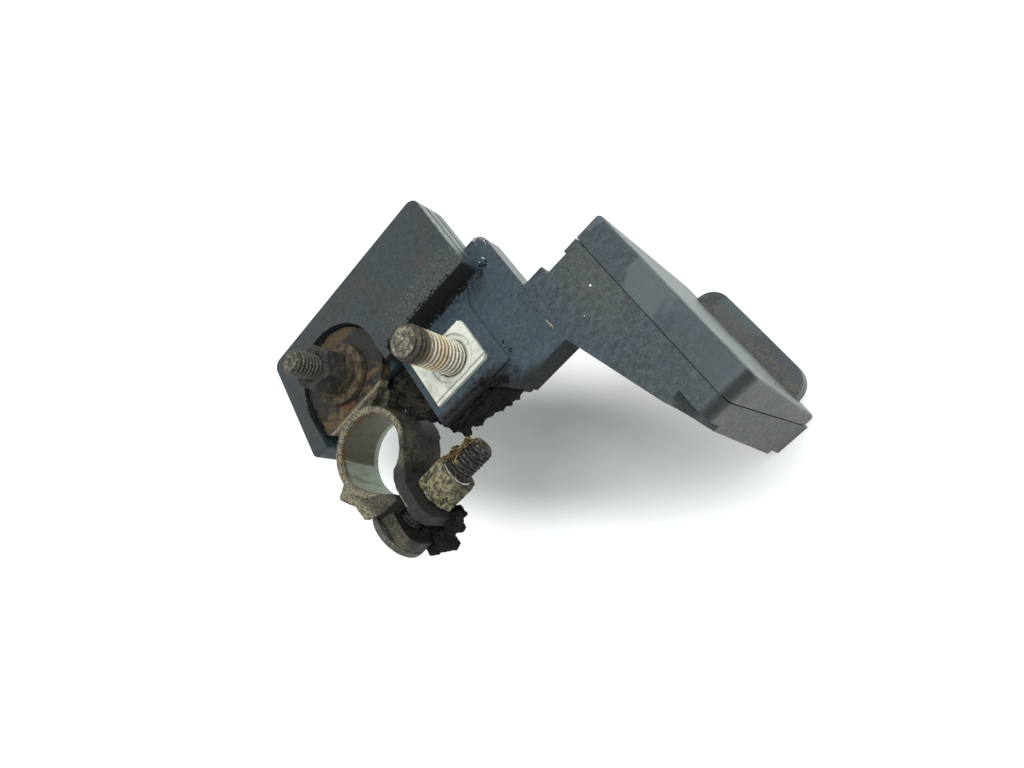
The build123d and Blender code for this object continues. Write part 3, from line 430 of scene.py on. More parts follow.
# places as for the moulding
clampCoats = {
    "rimTop": (12.9, 13.5), "rimBand": (8.2, 10.4, 0.3), "rimEnd": (7.4, 9.6), "rimShare": 0.85,
    "lipSide": (-11.4, -9.6), "lipEnd": (-1.0, 3.0),
    "boreWall": (9.4, 9.7), "boreTop": (13.0, 13.5), "boreSplit": (4.9, 5.4), "rubbedShare": 0.9,
    "boreFoot": (1.2, 1.9), "footShare": 0.8,
    "rustLine": (12.4, 13.4, 0.3), "rustShare": 0.85,
    "tabStart": (9.4, 11.0), "tabSide": (10.0, 12.0), "greaseShare": 0.75,
    "wipedEnd": (14.0, 18.0), "wipedTip": (30.0, 33.0),
    "tabBend": (10.6, 11.5, 0.25), "bendShare": 0.7,
    "leftSpot": ((1.6, 13.6, clampTop), 0.5, 2.8), "rightSpot": ((10.0, 14.5, clampTop), 0.4, 2.2),
    "earStart": (-9.0, -7.0), "jawSide": (7.0, 9.5), "jawTop": (8.0, 12.0), "lowShare": 0.65,
    "cakedSide": (0.4, 0.9), "cakedStart": (-8.6, -6.6), "cakedShare": 0.8,
    "edgeAcross": (0.8, 1.5, 0.1), "edgeAlong": (-17.4, -12.2, 0.4), "edgeShare": 0.7,
}


def clampPaint():
    paint = Paint("dirtyBrass")
    coats = clampCoats
    x, y, z = paint.axes()
    nz = paint.facing()[2]
    reach = paint.away((0, 0, 0), (1, 1, 0))
    cloud = paint.grain(3.0, 5.0, 0.65)
    gritty = paint.grain(0.45, 4.0, 0.65)
    fleck = paint.grain(0.22, 2.0, 0.5)
    speck = paint.rise(fleck, 0.54, 0.64)
    rubs = paint.rise(gritty, 0.36, 0.5)
    # dark greasy skin with pale grit
    paint.colour = paint.mix(paint.rise(cloud, 0.35, 0.65), brass["dark"], brass["skin"])
    paint.coat(speck * paint.rise(gritty, 0.42, 0.6) * 0.7, brass["pale"])
    # rim of the ring: pale granular skin with dark pits
    top = paint.rise(z, *coats["rimTop"])
    rim = top * paint.between(reach, *coats["rimBand"]) * paint.fall(x * 0.6 - y, *coats["rimEnd"])
    lip = top * paint.fall(x + y * 0.3, *coats["lipSide"]) * paint.fall(y, *coats["lipEnd"])
    pale = paint.mix(paint.rise(gritty, 0.4, 0.56), brass["skin"], brass["pale"])
    pale = paint.mix(paint.fall(fleck, 0.36, 0.46) * 0.8, pale, brass["dark"])
    paint.coat(rim.most(lip) * coats["rimShare"], pale)
    # bore wall: olive at the back, rubbed metal in front and at its foot, rust under the rim
    bore = paint.fall(reach, *coats["boreWall"]) * paint.fall(z, *coats["boreTop"])
    streak = paint.grain(1.6, 3.0, 0.6, (1, 1, 0.3))
    front = paint.fall(y + streak * 2.0, *coats["boreSplit"])
    rubbed = paint.mix(front, brass["olive"], brass["bare"])
    rubbed = paint.mix(paint.rise(streak, 0.48, 0.7) * 0.5, rubbed, brass["skin"])
    rubbed = paint.mix(paint.fall(gritty, 0.34, 0.46) * 0.35, rubbed, brass["slate"])
    paint.coat(bore * coats["rubbedShare"], rubbed)
    paint.coat(paint.fall(z, *coats["boreFoot"]) * bore * coats["footShare"], brass["bare"])
    line = paint.between(z + cloud, *coats["rustLine"]) * bore * paint.rise(cloud, 0.38, 0.5)
    paint.coat(line * coats["rustShare"], brass["rust"])
    # tab: black grease, golden brown only where it has been wiped, rust beside the ring
    tab = paint.rise(y, *coats["tabStart"]) * paint.rise(z, *coats["tabSide"])
    grease = paint.mix(paint.rise(gritty, 0.45, 0.7) * 0.6, brass["dark"], brass["slate"])
    paint.coat(tab * coats["greaseShare"], grease)
    wiped = paint.rise(cloud, 0.44, 0.62) * paint.fall(y, *coats["wipedEnd"])
    wiped = wiped.most(paint.rise(y + cloud * 9.0, *coats["wipedTip"]) * 0.6)
    paint.coat(tab * wiped * (0.35 + gritty * 0.7), brass["gold"])
    bend = paint.between(y + cloud * 0.8, *coats["tabBend"]) * rubs
    paint.coat(bend * tab * coats["bendShare"], brass["pale"])
    spots = paint.near(*coats["leftSpot"]) * paint.rise(gritty, 0.4, 0.55)
    spots = spots.most(paint.near(*coats["rightSpot"]) * speck)
    paint.coat(spots * coats["rustShare"], brass["rust"])
    # ears and jaws below the rim: black grease on the ears with painted shade on their faces that
    # don't face up, and the jaw on the +X side darker towards the bottom
    earsGreaseAndShade = paint.fall(y, *coats["earStart"]) * paint.fall(nz, 0.3, 0.7)
    jaw = paint.rise(x, *coats["jawSide"]) * paint.fall(z + cloud * 4.0, *coats["jawTop"])
    paint.coat(earsGreaseAndShade.most(jaw) * coats["lowShare"], brass["dark"])
    # right jaw: caked blue-black from the shoulder down, its inner edge rubbed bare
    caked = paint.rise(x, *coats["cakedSide"]) * paint.fall(y + cloud * 3.0, *coats["cakedStart"])
    paint.coat(caked * coats["cakedShare"], grease)
    edge = paint.between(x, *coats["edgeAcross"]) * paint.between(y, *coats["edgeAlong"]) * rubs
    paint.coat(edge * coats["edgeShare"], brass["pale"])
    roughness = 0.48 + gritty * 0.3 - bore * 0.12
    return paint.finish(roughness, gritty * 0.16 + fleck * 0.08, 0.3 + bore * 0.05)


clampWear = {
    "voxel": 0.24, "layers": [(2.4, 0.16, 3.1), (0.7, 0.14, 7.7)],
    "boreRadius": 9.5, "boreTop": 13.7, "boreWear": 0.25,
}


def boreShare(spot):
    # the bore stays smoother than the cast outside
    inside = math.hypot(spot.x, spot.y) < clampWear["boreRadius"] and spot.z < clampWear["boreTop"]
    return clampWear["boreWear"] if inside else 1.0


def makeClamp():
    bm = remeshed(mergedCopy("post_clamp"), clampWear["voxel"])
    roughen(bm, clampWear["layers"], boreShare)
    piece = finishMesh(bm, "postClampCast", smooth=60)
    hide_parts("post_clamp")
    piece.data.materials.append(clampPaint())
    print("post clamp:", len(piece.data.polygons), "faces")


makeClamp()


# ---- studs and bolts with their threads

threadShape = {
    # the groove's outline: 0 at the core or 1 at the crest, then the share of a pitch
    "profile": [(0, 0.0), (0, 0.12), (1, 0.46), (1, 0.58), (0, 0.94), (0, 1.0)],
    "depth": 0.6, "leadIn": 1.5,  # shares of a pitch
    "coneSlope": 0.9, "stepsPerTurn": 28, "weld": 0.004, "wearSize": 0.8,
}
hexEdge = 0.25
cableStud = {
    "at": (28.2, 2.9, 0.0), "radius": 4.0, "pitch": 1.25, "low": 8.8, "high": 27.4, "tipCone": 0.8,
    "headFlats": 12.0, "headLow": 4.4, "headHigh": 8.8, "headTurn": 0, "wear": 0.07, "seed": 27.4,
    "paint": {
        "metal": 0.15, "ragged": 2.4, "pits": 0.35, "stained": 0.35, "valley": 0.42, "packed": 0.7,
        "glint": 0.1, "crest": tint(196, 194, 172),
        "dark": tint(48, 40, 32), "stain": tint(140, 104, 62),
        "stops": [(0.0, tint(184, 186, 170)), (0.3, tint(238, 236, 216)),
                  (0.5, tint(226, 208, 166)), (0.66, tint(236, 230, 204)),
                  (0.76, tint(140, 130, 108)), (0.82, tint(46, 44, 41)),
                  (0.97, tint(36, 35, 34)), (1.0, tint(112, 110, 96))],
    },
}
tabStud = {
    "at": (4.4, 20.2, 0.0), "radius": 3.0, "pitch": 1.0, "low": 10.0, "high": 30.5, "tipCone": 0.8,
    "headFlats": 10.0, "headLow": 6.0, "headHigh": 10.0, "headTurn": 30, "wear": 0.07, "seed": 30.5,
    "paint": {
        "metal": 0.3, "ragged": 2.0, "pits": 0.7, "stained": 0.3, "valley": 0.4, "packed": 0.8,
        "glint": 0.3, "crest": tint(150, 148, 138),
        "dark": tint(24, 23, 22), "stain": tint(96, 78, 56),
        "stops": [(0.0, tint(120, 116, 100)), (0.6, tint(64, 60, 54)), (0.8, tint(86, 80, 72)),
                  (1.0, tint(84, 80, 72))],
    },
}
clampBolt = {
    "at": (0.0, -15.2, 5.0), "radius": 3.0, "pitch": 1.0, "low": -8.0, "high": 20.5, "tipCone": 0.8,
    "headRadius": 7.4, "headLow": -10.0, "headEdge": 1.0, "wear": 0.1, "seed": 5.0,
    "paint": {
        "metal": 0.3, "ragged": 3.0, "pits": 0.65, "stained": 0.3, "valley": 0.4, "packed": 0.7,
        "glint": 0.5, "crest": tint(150, 148, 142),
        "dark": tint(14, 13, 14), "stain": tint(96, 72, 42),
        "stops": [(0.0, tint(84, 84, 78)), (0.5, tint(64, 60, 56)), (0.8, tint(60, 56, 54)),
                  (1.0, tint(40, 38, 38))],
    },
}


def threadedRod(rod):
    # a helical strip along +Z, cut to length, closed, with a coned tip
    radius, pitch, low, high = [rod[name] for name in ("radius", "pitch", "low", "high")]
    core = radius - threadShape["depth"] * pitch
    start = low - threadShape["leadIn"] * pitch
    bm = bmesh.new()
    verts = [bm.verts.new(((radius if crest else core) * mm, 0, (start + share * pitch) * mm))
             for crest, share in threadShape["profile"]]
    edges = [bm.edges.new(pair) for pair in zip(verts, verts[1:])]
    turns = math.ceil((high - start) / pitch) + 1
    steps = threadShape["stepsPerTurn"]
    bmesh.ops.spin(bm, geom=verts + edges, cent=(0, 0, 0), axis=(0, 0, 1),
                   dvec=(0, 0, pitch * mm / steps), angle=2 * math.pi * turns,
                   steps=steps * turns, use_merge=False)
    bmesh.ops.remove_doubles(bm, verts=bm.verts, dist=threadShape["weld"] * mm)
    for level, away in ((low, -1), (high, 1)):
        bmesh.ops.bisect_plane(bm, geom=bm.verts[:] + bm.edges[:] + bm.faces[:], dist=weldGap / 2 * mm,
                               plane_co=(0, 0, level * mm), plane_no=(0, 0, away), clear_outer=True)
        rim = [edge for edge in bm.edges if edge.is_boundary
               and all(abs(vert.co.z - level * mm) < weldGap * mm for vert in edge.verts)]
        bmesh.ops.contextual_create(bm, geom=rim)
    for vert in bm.verts:
        reach = math.hypot(vert.co.x, vert.co.y) / mm
        limit = radius - rod["tipCone"] + (high - vert.co.z / mm) * threadShape["coneSlope"]
        if reach > limit:
            vert.co.xy *= limit / reach
    offset = Vector((rod["seed"], rod["seed"], 0))
    for vert in bm.verts:
        shake = noise.noise_vector(vert.co / (threadShape["wearSize"] * mm) + offset)
        vert.co += shake * rod["wear"] * mm
        vert.co.z = min(max(vert.co.z, low * mm), high * mm)
    bmesh.ops.recalc_face_normals(bm, faces=bm.faces)
    return bm


def addHead(bm, radius, low, high, sides, turn=0):
    head = bmesh.ops.create_cone(bm, cap_ends=True, segments=sides, radius1=radius * mm,
                                 radius2=radius * mm, depth=(high - low) * mm)
    verts = head["verts"]
    bmesh.ops.rotate(bm, verts=verts, cent=(0, 0, 0),
                     matrix=Matrix.Rotation(math.radians(turn), 3, "Z"))
    bmesh.ops.translate(bm, verts=verts, vec=(0, 0, (low + high) / 2 * mm))
    return list(dict.fromkeys(edge for vert in verts for edge in vert.link_edges))


def steelPaint(name, rod, low, axis):
    # zinc gone dull, with grime in the threads and more of it towards one end
    looks, radius, high = rod["paint"], rod["radius"], rod["high"]
    paint = Paint(name, {"Metallic": looks["metal"]})
    along = paint.axes()[axis]
    cloud = paint.grain(1.6, 4.0, 0.6)
    gritty = paint.grain(0.3, 3.0, 0.6)
    coarse = paint.grain(0.75, 3.0, 0.6)
    across = tuple(0 if side == axis else 1 for side in range(3))
    reach = paint.away([place * share for place, share in zip(rod["at"], across)], across)
    span = paint.node("ShaderNodeMapRange", {"interpolation_type": "LINEAR"}, {
        "Value": along + cloud * looks["ragged"] - looks["ragged"] / 2,
        "From Min": low, "From Max": high})
    paint.colour = paint.ramp(span, looks["stops"])
    valley = paint.fall(reach, radius - looks["valley"], radius - 0.08)
    valley = valley * paint.fall(along, high - 0.25, high - 0.1)
    paint.coat(valley * looks["packed"], looks["dark"])
    paint.coat(paint.rise(gritty, 0.5, 0.64) * looks["pits"], looks["dark"])
    paint.coat(paint.rise(cloud, 0.52, 0.66) * looks["stained"], looks["stain"])
    # pits and rubbed metal on the end; the same pale specks, fewer, on the threads are painted glints
    tip = paint.rise(along, high - 0.2, high - 0.1)
    paint.coat(tip * paint.fall(coarse, 0.42, 0.5) * 0.8, looks["dark"])
    paint.coat((tip * 0.5).most(looks["glint"]) * paint.rise(coarse, 0.55, 0.64), looks["crest"])
    relief = gritty * 0.05 + cloud * 0.04 + tip * gritty * 0.2
    return paint.finish(0.42 + gritty * 0.3, relief)


def makeStud(name, node, stud):
    bm = threadedRod(stud)
    corner = stud["headFlats"] / 2 / math.cos(math.radians(30))
    edges = addHead(bm, corner, stud["headLow"], stud["headHigh"], 6, stud["headTurn"])
    bmesh.ops.bevel(bm, geom=edges, offset=hexEdge * mm, affect="EDGES", segments=2,
                    profile=0.5, material=-1)
    bmesh.ops.translate(bm, verts=bm.verts, vec=point(*stud["at"]))
    piece = finishMesh(bm, name)
    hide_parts(node)
    piece.data.materials.append(steelPaint(name + "Steel", stud, stud["headHigh"], 2))


def makeClampBolt(bolt):
    bm = threadedRod(bolt)
    edges = addHead(bm, bolt["headRadius"], bolt["headLow"], bolt["low"], 48)
    rim = [edge for edge in edges
           if all(vert.co.z < (bolt["headLow"] + 0.1) * mm for vert in edge.verts)]
    bmesh.ops.bevel(bm, geom=rim, offset=bolt["headEdge"] * mm, affect="EDGES", segments=5,
                    profile=0.5, material=-1)
    bmesh.ops.rotate(bm, verts=bm.verts, cent=(0, 0, 0),  # the bolt lies along X
                     matrix=Matrix.Rotation(math.radians(90), 3, "Y"))
    bmesh.ops.translate(bm, verts=bm.verts, vec=point(*bolt["at"]))
    piece = finishMesh(bm, "clampBoltThreaded")
    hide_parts("clamp_bolt")
    piece.data.materials.append(steelPaint("boltSteel", bolt, bolt["low"], 0))


makeStud("cableStudThreaded", "cable_stud", cableStud)
makeStud("tabStudThreaded", "tab_stud", tabStud)
makeClampBolt(clampBolt)
print("threads cut")


# ---- corroded nuts and washers

def crustPaint(name, looks):
    paint = Paint(name, {"Metallic": looks["metal"], "Specular IOR Level": looks["gloss"]})
    cloud = paint.grain(looks["patch"], 4.0, 0.6)
    gritty = paint.grain(looks.get("grit", 0.4), 4.0, 0.65)
    fleck = paint.grain(0.2, 2.0, 0.5)
    paint.colour = paint.mix(paint.rise(cloud, 0.38, 0.62), looks["low"], looks["high"])
    paint.coat(paint.fall(gritty, 0.38, 0.5) * looks["pits"], looks["dark"])
    paint.coat(paint.rise(fleck, 0.6, 0.7) * looks["flecks"], looks["pale"])
    if "shine" in looks:
        # pale arc round the bolt on the nut's outer face is a painted highlight, and the darker far
        # side painted shade
        x, y, z = paint.axes()
        reach = paint.away(looks["shine"], (0, 1, 1))
        highlightArc = paint.between(reach, *looks["highlightArcBand"]) * paint.rise(x, *looks["highlightArcFace"])
        highlightArc = highlightArc * paint.rise(z - y, *looks["highlightArcSide"])
        paint.coat(highlightArc * 0.9, looks["bare"])
        shaded = paint.rise(x - y * 0.9 - z * 1.1 + cloud * 3.0, *looks["shade"]) * (1 - highlightArc)
        paint.coat(shaded * 0.6, looks["dark"])
    return paint.finish(0.5 + gritty * 0.35, gritty * 0.2 + fleck * 0.06)


nutLooks = {
    "gloss": 0.5, "grit": 0.65, "metal": 0.1, "patch": 1.6, "pits": 1.0, "flecks": 0.6,
    "low": tint(64, 60, 46), "high": tint(152, 146, 114), "dark": tint(15, 15, 12),
    "pale": tint(196, 192, 164), "bare": tint(214, 212, 196), "shine": clampBolt["at"],
    "highlightArcBand": (2.9, 3.8, 0.12), "highlightArcFace": (11.0, 11.3), "highlightArcSide": (20.6, 22.0),
    "shade": (18.6, 23.0),
}
greasyLooks = {
    "gloss": 0.5, "metal": 0.3, "patch": 2.0, "pits": 0.7, "flecks": 0.5,
    "low": tint(26, 31, 36), "high": tint(66, 62, 54), "dark": tint(11, 13, 14),
    "pale": tint(132, 124, 102),
}
washerLooks = {
    "gloss": 0.5, "metal": 0.4, "patch": 2.4, "pits": 0.6, "flecks": 0.5,
    "low": tint(44, 40, 35), "high": tint(98, 86, 66), "dark": tint(20, 19, 18),
    "pale": tint(160, 150, 122),
}
weathered = {
    "clamp_nut": ("clampNutCrusted", 0.2, [(1.6, 0.18, 2.0), (0.5, 0.16, 9.0)], nutLooks),
    "tab_nut": ("tabNutGreasy", 0.2, [(2.2, 0.22, 4.0), (0.7, 0.12, 6.0)], greasyLooks),
    "tab_washer": ("tabWasherWorn", 0.2, [(1.8, 0.1, 5.0), (0.6, 0.08, 1.0)], washerLooks),
    "spring_washer": ("springWasherWorn", 0.18, [(1.8, 0.08, 3.0), (0.6, 0.06, 8.0)], washerLooks),
}


def makeWeathered():
    for node, (name, voxel, layers, looks) in weathered.items():
        bm = remeshed(mergedCopy(node), voxel)
        roughen(bm, layers)
        piece = finishMesh(bm, name, smooth=60)
        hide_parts(node)
        piece.data.materials.append(crustPaint(name + "Skin", looks))
        print(name, len(piece.data.polygons), "faces")


makeWeathered()


# ---- caked dirt, fibres and crumbs

lumpSpread = {"size": (0.6, 1.1), "width": (0.8, 1.2), "height": (0.7, 1.0)}


def scatterLumps(bm, rng, runs, lift=1.0):
    # a run goes from one point to another: how many lumps, their size and how far they stray
    for start, end, count, size, stray in runs:
        for lump in range(count):
            at = Vector(start).lerp(Vector(end), rng.random())
            at += Vector([rng.uniform(-stray, stray) * share for share in (1, 1, lift)])
            radius = size * rng.uniform(*lumpSpread["size"]) * mm
            made = bmesh.ops.create_icosphere(bm, subdivisions=1, radius=radius)
            squash = [rng.uniform(*lumpSpread[side]) for side in ("width", "width", "height")]
            bmesh.ops.transform(bm, verts=made["verts"], matrix=Matrix.Diagonal(squash).to_4x4())
            bmesh.ops.translate(bm, verts=made["verts"], vec=at * mm)


def addFibre(bm, path, radius):
    # a thin closed tube through the path's points, half as thick at its ends
    sides = 5
    rows = []
    for index, spot in enumerate(path):
        ahead = path[min(index + 1, len(path) - 1)] - path[max(index - 1, 0)]
        side = ahead.orthogonal().normalized()
        other = ahead.cross(side).normalized()
        thin = radius * (0.5 if index in (0, len(path) - 1) else 1.0)
        row = []
        for corner in range(sides):
            angle = 2 * math.pi * corner / sides
            out = side * math.cos(angle) + other * math.sin(angle)
            row.append(bm.verts.new((spot + out * thin) * mm))
        rows.append(row)
    for first, second in zip(rows, rows[1:]):
        for corner in range(sides):
            after = (corner + 1) % sides
            bm.faces.new((first[corner], first[after], second[after], second[corner]))
    bm.faces.new(rows[0][::-1])
    bm.faces.new(rows[-1])


def strayPath(rng, centre, length, stray, bend):
    # one bent fibre near a place, in a random direction
    pieces = 6
    heading = Vector((rng.uniform(-1, 1), rng.uniform(-1, 1), rng.uniform(-0.3, 0.6))).normalized()
    turn = Vector((rng.uniform(-1, 1), rng.uniform(-1, 1), rng.uniform(-1, 1))) * bend
    spot = Vector(centre) + Vector((rng.uniform(-stray, stray), rng.uniform(-stray, stray), 0))
    path = [spot.copy()]
    for step in range(pieces):
        heading = (heading + turn).normalized()
        spot = spot + heading * (length / pieces)
        path.append(spot.copy())
    return path


dirtLooks = {
    "gloss": 0.12, "metal": 0.0, "patch": 2.0, "pits": 0.6, "flecks": 0.3,
    "low": tint(9, 13, 16), "high": tint(27, 29, 28), "dark": tint(5, 6, 7),
    "pale": tint(92, 92, 82),
}
grittyLooks = {
    "gloss": 0.12, "metal": 0.0, "patch": 1.6, "pits": 0.7, "flecks": 0.5,
    "low": tint(16, 20, 22), "high": tint(52, 50, 42), "dark": tint(7, 8, 9),
    "pale": tint(116, 112, 92),
}
brownLooks = {
    "gloss": 0.12, "metal": 0.0, "patch": 1.2, "pits": 0.5, "flecks": 0.5,
    "low": tint(44, 36, 26), "high": tint(104, 84, 52), "dark": tint(16, 14, 12),
    "pale": tint(176, 160, 112),
}
strawLooks = {
    "gloss": 0.12, "metal": 0.0, "patch": 0.8, "pits": 0.2, "flecks": 0.3,
    "low": tint(176, 158, 104), "high": tint(216, 204, 156), "dark": tint(90, 70, 40),
    "pale": tint(220, 206, 160),
}
fluffLooks = {
    "gloss": 0.12, "metal": 0.0, "patch": 0.8, "pits": 0.1, "flecks": 0.3,
    "low": tint(214, 218, 214), "high": tint(238, 240, 238), "dark": tint(170, 174, 170),
    "pale": tint(250, 250, 250),
}
# dirt packed between the tab and the round wall of its pocket, then along the straight wall
pocket = {
    "radius": 12.1, "level": 13.9, "from": 88, "to": 190, "step": 4, "lumps": 5, "size": 1.0,
    "stray": 0.25, "straight": ((-7.8, 18.0, 13.9), (-7.9, 10.6, 13.9), 16, 1.0, 0.25),
}


def pocketRuns():
    middle = tabStud["at"]
    spots = []
    for angle in range(pocket["from"], pocket["to"], pocket["step"]):
        turn = math.radians(angle)
        spots.append((middle[0] + pocket["radius"] * math.cos(turn),
                      middle[1] + pocket["radius"] * math.sin(turn), pocket["level"]))
    return [(first, second, pocket["lumps"], pocket["size"], pocket["stray"])
            for first, second in zip(spots, spots[1:])] + [pocket["straight"]]


dirtBanks = {
    "padDirt": {"seed": 11, "voxel": 0.24, "looks": dirtLooks,
                "layers": [(1.3, 0.3, 1.0), (0.5, 0.25, 4.0)],
                "runs": [((17.6, -6.4, 5.0), (22.6, -8.7, 4.8), 44, 1.8, 0.7),
                         ((22.6, -8.4, 5.0), (31.0, -9.9, 5.0), 70, 1.9, 0.7),
                         ((31.0, -10.2, 5.4), (34.0, -12.4, 5.4), 26, 1.5, 0.6),
                         ((18.2, -9.2, 5.0), (19.8, -11.0, 5.2), 14, 1.1, 0.5),
                         ((16.0, -2.6, 5.0), (17.6, -7.0, 5.0), 16, 1.3, 0.4),
                         ((18.0, -7.9, 7.4), (30.6, -7.9, 7.4), 130, 0.9, 0.7),
                         ((18.0, -8.2, 6.0), (31.0, -8.6, 6.0), 70, 1.2, 0.5),
                         ((31.2, -8.8, 7.2), (35.4, -13.2, 7.0), 90, 0.9, 0.7),
                         ((19.4, -9.6, 4.8), (34.0, -13.0, 5.0), 50, 0.62, 0.6),
                         ((14.2, -0.4, 6.0), (17.2, -4.6, 6.0), 34, 1.5, 0.6)]},
    "tabBank": {"seed": 12, "voxel": 0.28, "looks": grittyLooks,
                "layers": [(2.0, 0.4, 1.0), (0.6, 0.25, 4.0)],
                "runs": [((9.4, 7.6, 6.2), (11.0, 5.8, 6.2), 14, 1.4, 0.4),
                         ((10.2, 5.8, 6.0), (11.2, 3.6, 6.0), 18, 1.4, 0.3),
                         ((8.5, 11.8, 6.4), (15.6, 11.4, 6.6), 64, 2.5, 1.0),
                         ((12.0, 7.6, 6.0), (16.0, 5.6, 6.2), 46, 2.4, 0.9),
                         ((10.6, 6.6, 6.4), (13.0, 0.6, 6.0), 46, 1.7, 0.7),
                         ((13.4, 3.6, 5.8), (16.8, 0.6, 5.6), 34, 1.8, 0.7)]},
    "earDirt": {"seed": 13, "voxel": 0.26, "looks": dirtLooks,
                "layers": [(1.5, 0.3, 2.0), (0.5, 0.25, 4.0)],
                "runs": [((-2.0, -14.0, 2.4), (-1.6, -22.6, 2.4), 60, 1.9, 0.8),
                         ((-1.6, -13.2, 6.6), (-1.6, -19.6, 5.6), 44, 1.4, 0.7),
                         ((-6.6, -22.2, 0.6), (-0.4, -24.4, 0.8), 52, 2.0, 0.6),
                         ((-4.6, -20.6, 0.6), (0.6, -22.2, 1.4), 40, 2.0, 0.6),
                         ((1.6, -22.0, 3.0), (5.2, -22.8, 3.8), 40, 1.8, 0.6),
                         ((4.6, -20.0, 1.2), (5.0, -22.0, 1.4), 20, 1.4, 0.5),
                         ((1.4, -22.0, 1.4), (3.2, -23.6, 1.8), 22, 1.6, 0.5)]},
    "boltDirt": {"seed": 14, "voxel": 0.22, "looks": brownLooks,
                 "layers": [(1.0, 0.2, 2.0), (0.4, 0.15, 4.0)],
                 "runs": [((13.0, -13.2, 7.0), (19.4, -13.0, 7.0), 46, 1.0, 0.5),
                          ((12.0, -12.6, 7.6), (16.4, -12.0, 7.6), 20, 0.7, 0.5),
                          ((19.6, -13.4, 6.0), (20.0, -15.6, 4.6), 18, 0.9, 0.5)]},
    "pocketDirt": {"seed": 21, "voxel": 0.26, "looks": dirtLooks,
                   "layers": [(1.4, 0.3, 3.0), (0.5, 0.2, 6.0)],
                   "runs": pocketRuns()},
}


def makeDirt():
    for name, bank in dirtBanks.items():
        bm = bmesh.new()
        scatterLumps(bm, random.Random(bank["seed"]), bank["runs"])
        bm = remeshed(bm, bank["voxel"])
        roughen(bm, bank["layers"])
        piece = finishMesh(bm, name, smooth=75)
        piece.data.materials.append(crustPaint(name + "Skin", bank["looks"]))
        print(name, len(piece.data.polygons), "faces")


fibres = {
    "boltFibres": {"seed": 31, "looks": strawLooks, "radius": 0.07, "bend": 0.12,
                   "tufts": [((14.6, -12.8, 7.6), 12, 2.6, 1.2), ((18.4, -12.6, 7.2), 12, 2.4, 1.2),
                             ((20.0, -14.0, 5.6), 8, 2.0, 0.8)]},
    "strawFibre": {"seed": 32, "looks": strawLooks, "radius": 0.1, "bend": 0.02, "tufts": [],
                   "paths": [[(50.1, -7.4, 9.75), (50.0, -8.3, 9.6), (50.2, -9.4, 9.6),
                              (50.1, -10.2, 9.85)]]},
    "cornerFluff": {"seed": 33, "looks": fluffLooks, "radius": 0.045, "bend": 0.45,
                    "tufts": [((49.2, 21.2, 9.7), 14, 2.0, 0.7),
                              ((50.8, 19.6, 9.6), 10, 1.8, 0.6)]},
    "padFibres": {"seed": 34, "looks": dirtLooks, "radius": 0.06, "bend": 0.15,
                  "tufts": [((22.0, -9.6, 5.0), 8, 2.2, 1.0), ((29.0, -11.0, 5.0), 8, 2.0, 1.0),
                            ((4.6, -24.0, 4.4), 8, 2.0, 0.8)]},
}


def makeFibres():
    for name, bundle in fibres.items():
        rng = random.Random(bundle["seed"])
        bm = bmesh.new()
        for centre, count, length, stray in bundle["tufts"]:
            for strand in range(count):
                reach = length * rng.uniform(0.6, 1.1)
                path = strayPath(rng, centre, reach, stray, bundle["bend"])
                addFibre(bm, path, bundle["radius"])
        for path in bundle.get("paths", []):
            addFibre(bm, [Vector(spot) for spot in path], bundle["radius"])
        bmesh.ops.recalc_face_normals(bm, faces=bm.faces)
        piece = finishMesh(bm, name, smooth=60)
        piece.data.materials.append(crustPaint(name + "Skin", bundle["looks"]))


crumbs = {
    "darkCrumbs": {"seed": 41, "looks": dirtLooks,
                   "runs": [((44.4, 13.6, boxTop), (47.4, 15.6, boxTop), 26, 0.32, 0.9),
                            ((39.6, -2.0, boxTop), (39.8, -7.0, boxTop), 12, 0.22, 0.5),
                            ((29.5, -6.4, padTop), (35.2, -10.6, padTop), 110, 0.36, 0.9),
                            ((18.6, -6.3, padTop), (29.0, -6.7, padTop), 40, 0.26, 0.4),
                            ((44.0, 4.0, boxTop), (57.0, -6.0, boxTop), 16, 0.17, 2.6),
                            ((19.4, 14.3, padTop), (41.0, 14.3, padTop), 150, 0.42, 0.6),
                            ((41.0, 15.5, slabTop), (19.4, 15.5, slabTop), 110, 0.22, 0.5)]},
    "paleCrumbs": {"seed": 42, "looks": fluffLooks,
                   "runs": [((61.6, -9.0, boxTop), (61.6, -9.2, boxTop), 1, 0.3, 0.0),
                            ((56.6, -13.1, boxTop), (56.6, -13.2, boxTop), 1, 0.26, 0.0),
                            ((46.0, 15.0, boxTop), (48.0, 17.0, boxTop), 4, 0.2, 0.8)]},
}


def makeCrumbs():
    for name, handful in crumbs.items():
        bm = bmesh.new()
        scatterLumps(bm, random.Random(handful["seed"]), handful["runs"], lift=0.0)
        piece = finishMesh(bm, name, smooth=30)
        piece.data.materials.append(crustPaint(name + "Skin", handful["looks"]))


makeDirt()
makeFibres()
makeCrumbs()
print("dirt, fibres and crumbs laid")


# ---- tinned strips

tinLooks = {
    "tin": tint(226, 231, 220), "yellow": tint(204, 194, 146), "dull": tint(170, 177, 166),
    "dark": tint(58, 58, 54), "scratches": (0.5, 3.0, 0.5, (0.15, 3.0, 1), (0, 0, 35)),
    "ringBand": (5.8, 6.2, 0.25), "ringFoot": (4.4, 5.0), "ringShare": 0.4,
    "line": (-2.7, -2.3, 0.12), "shadowLineShare": 0.6,
}


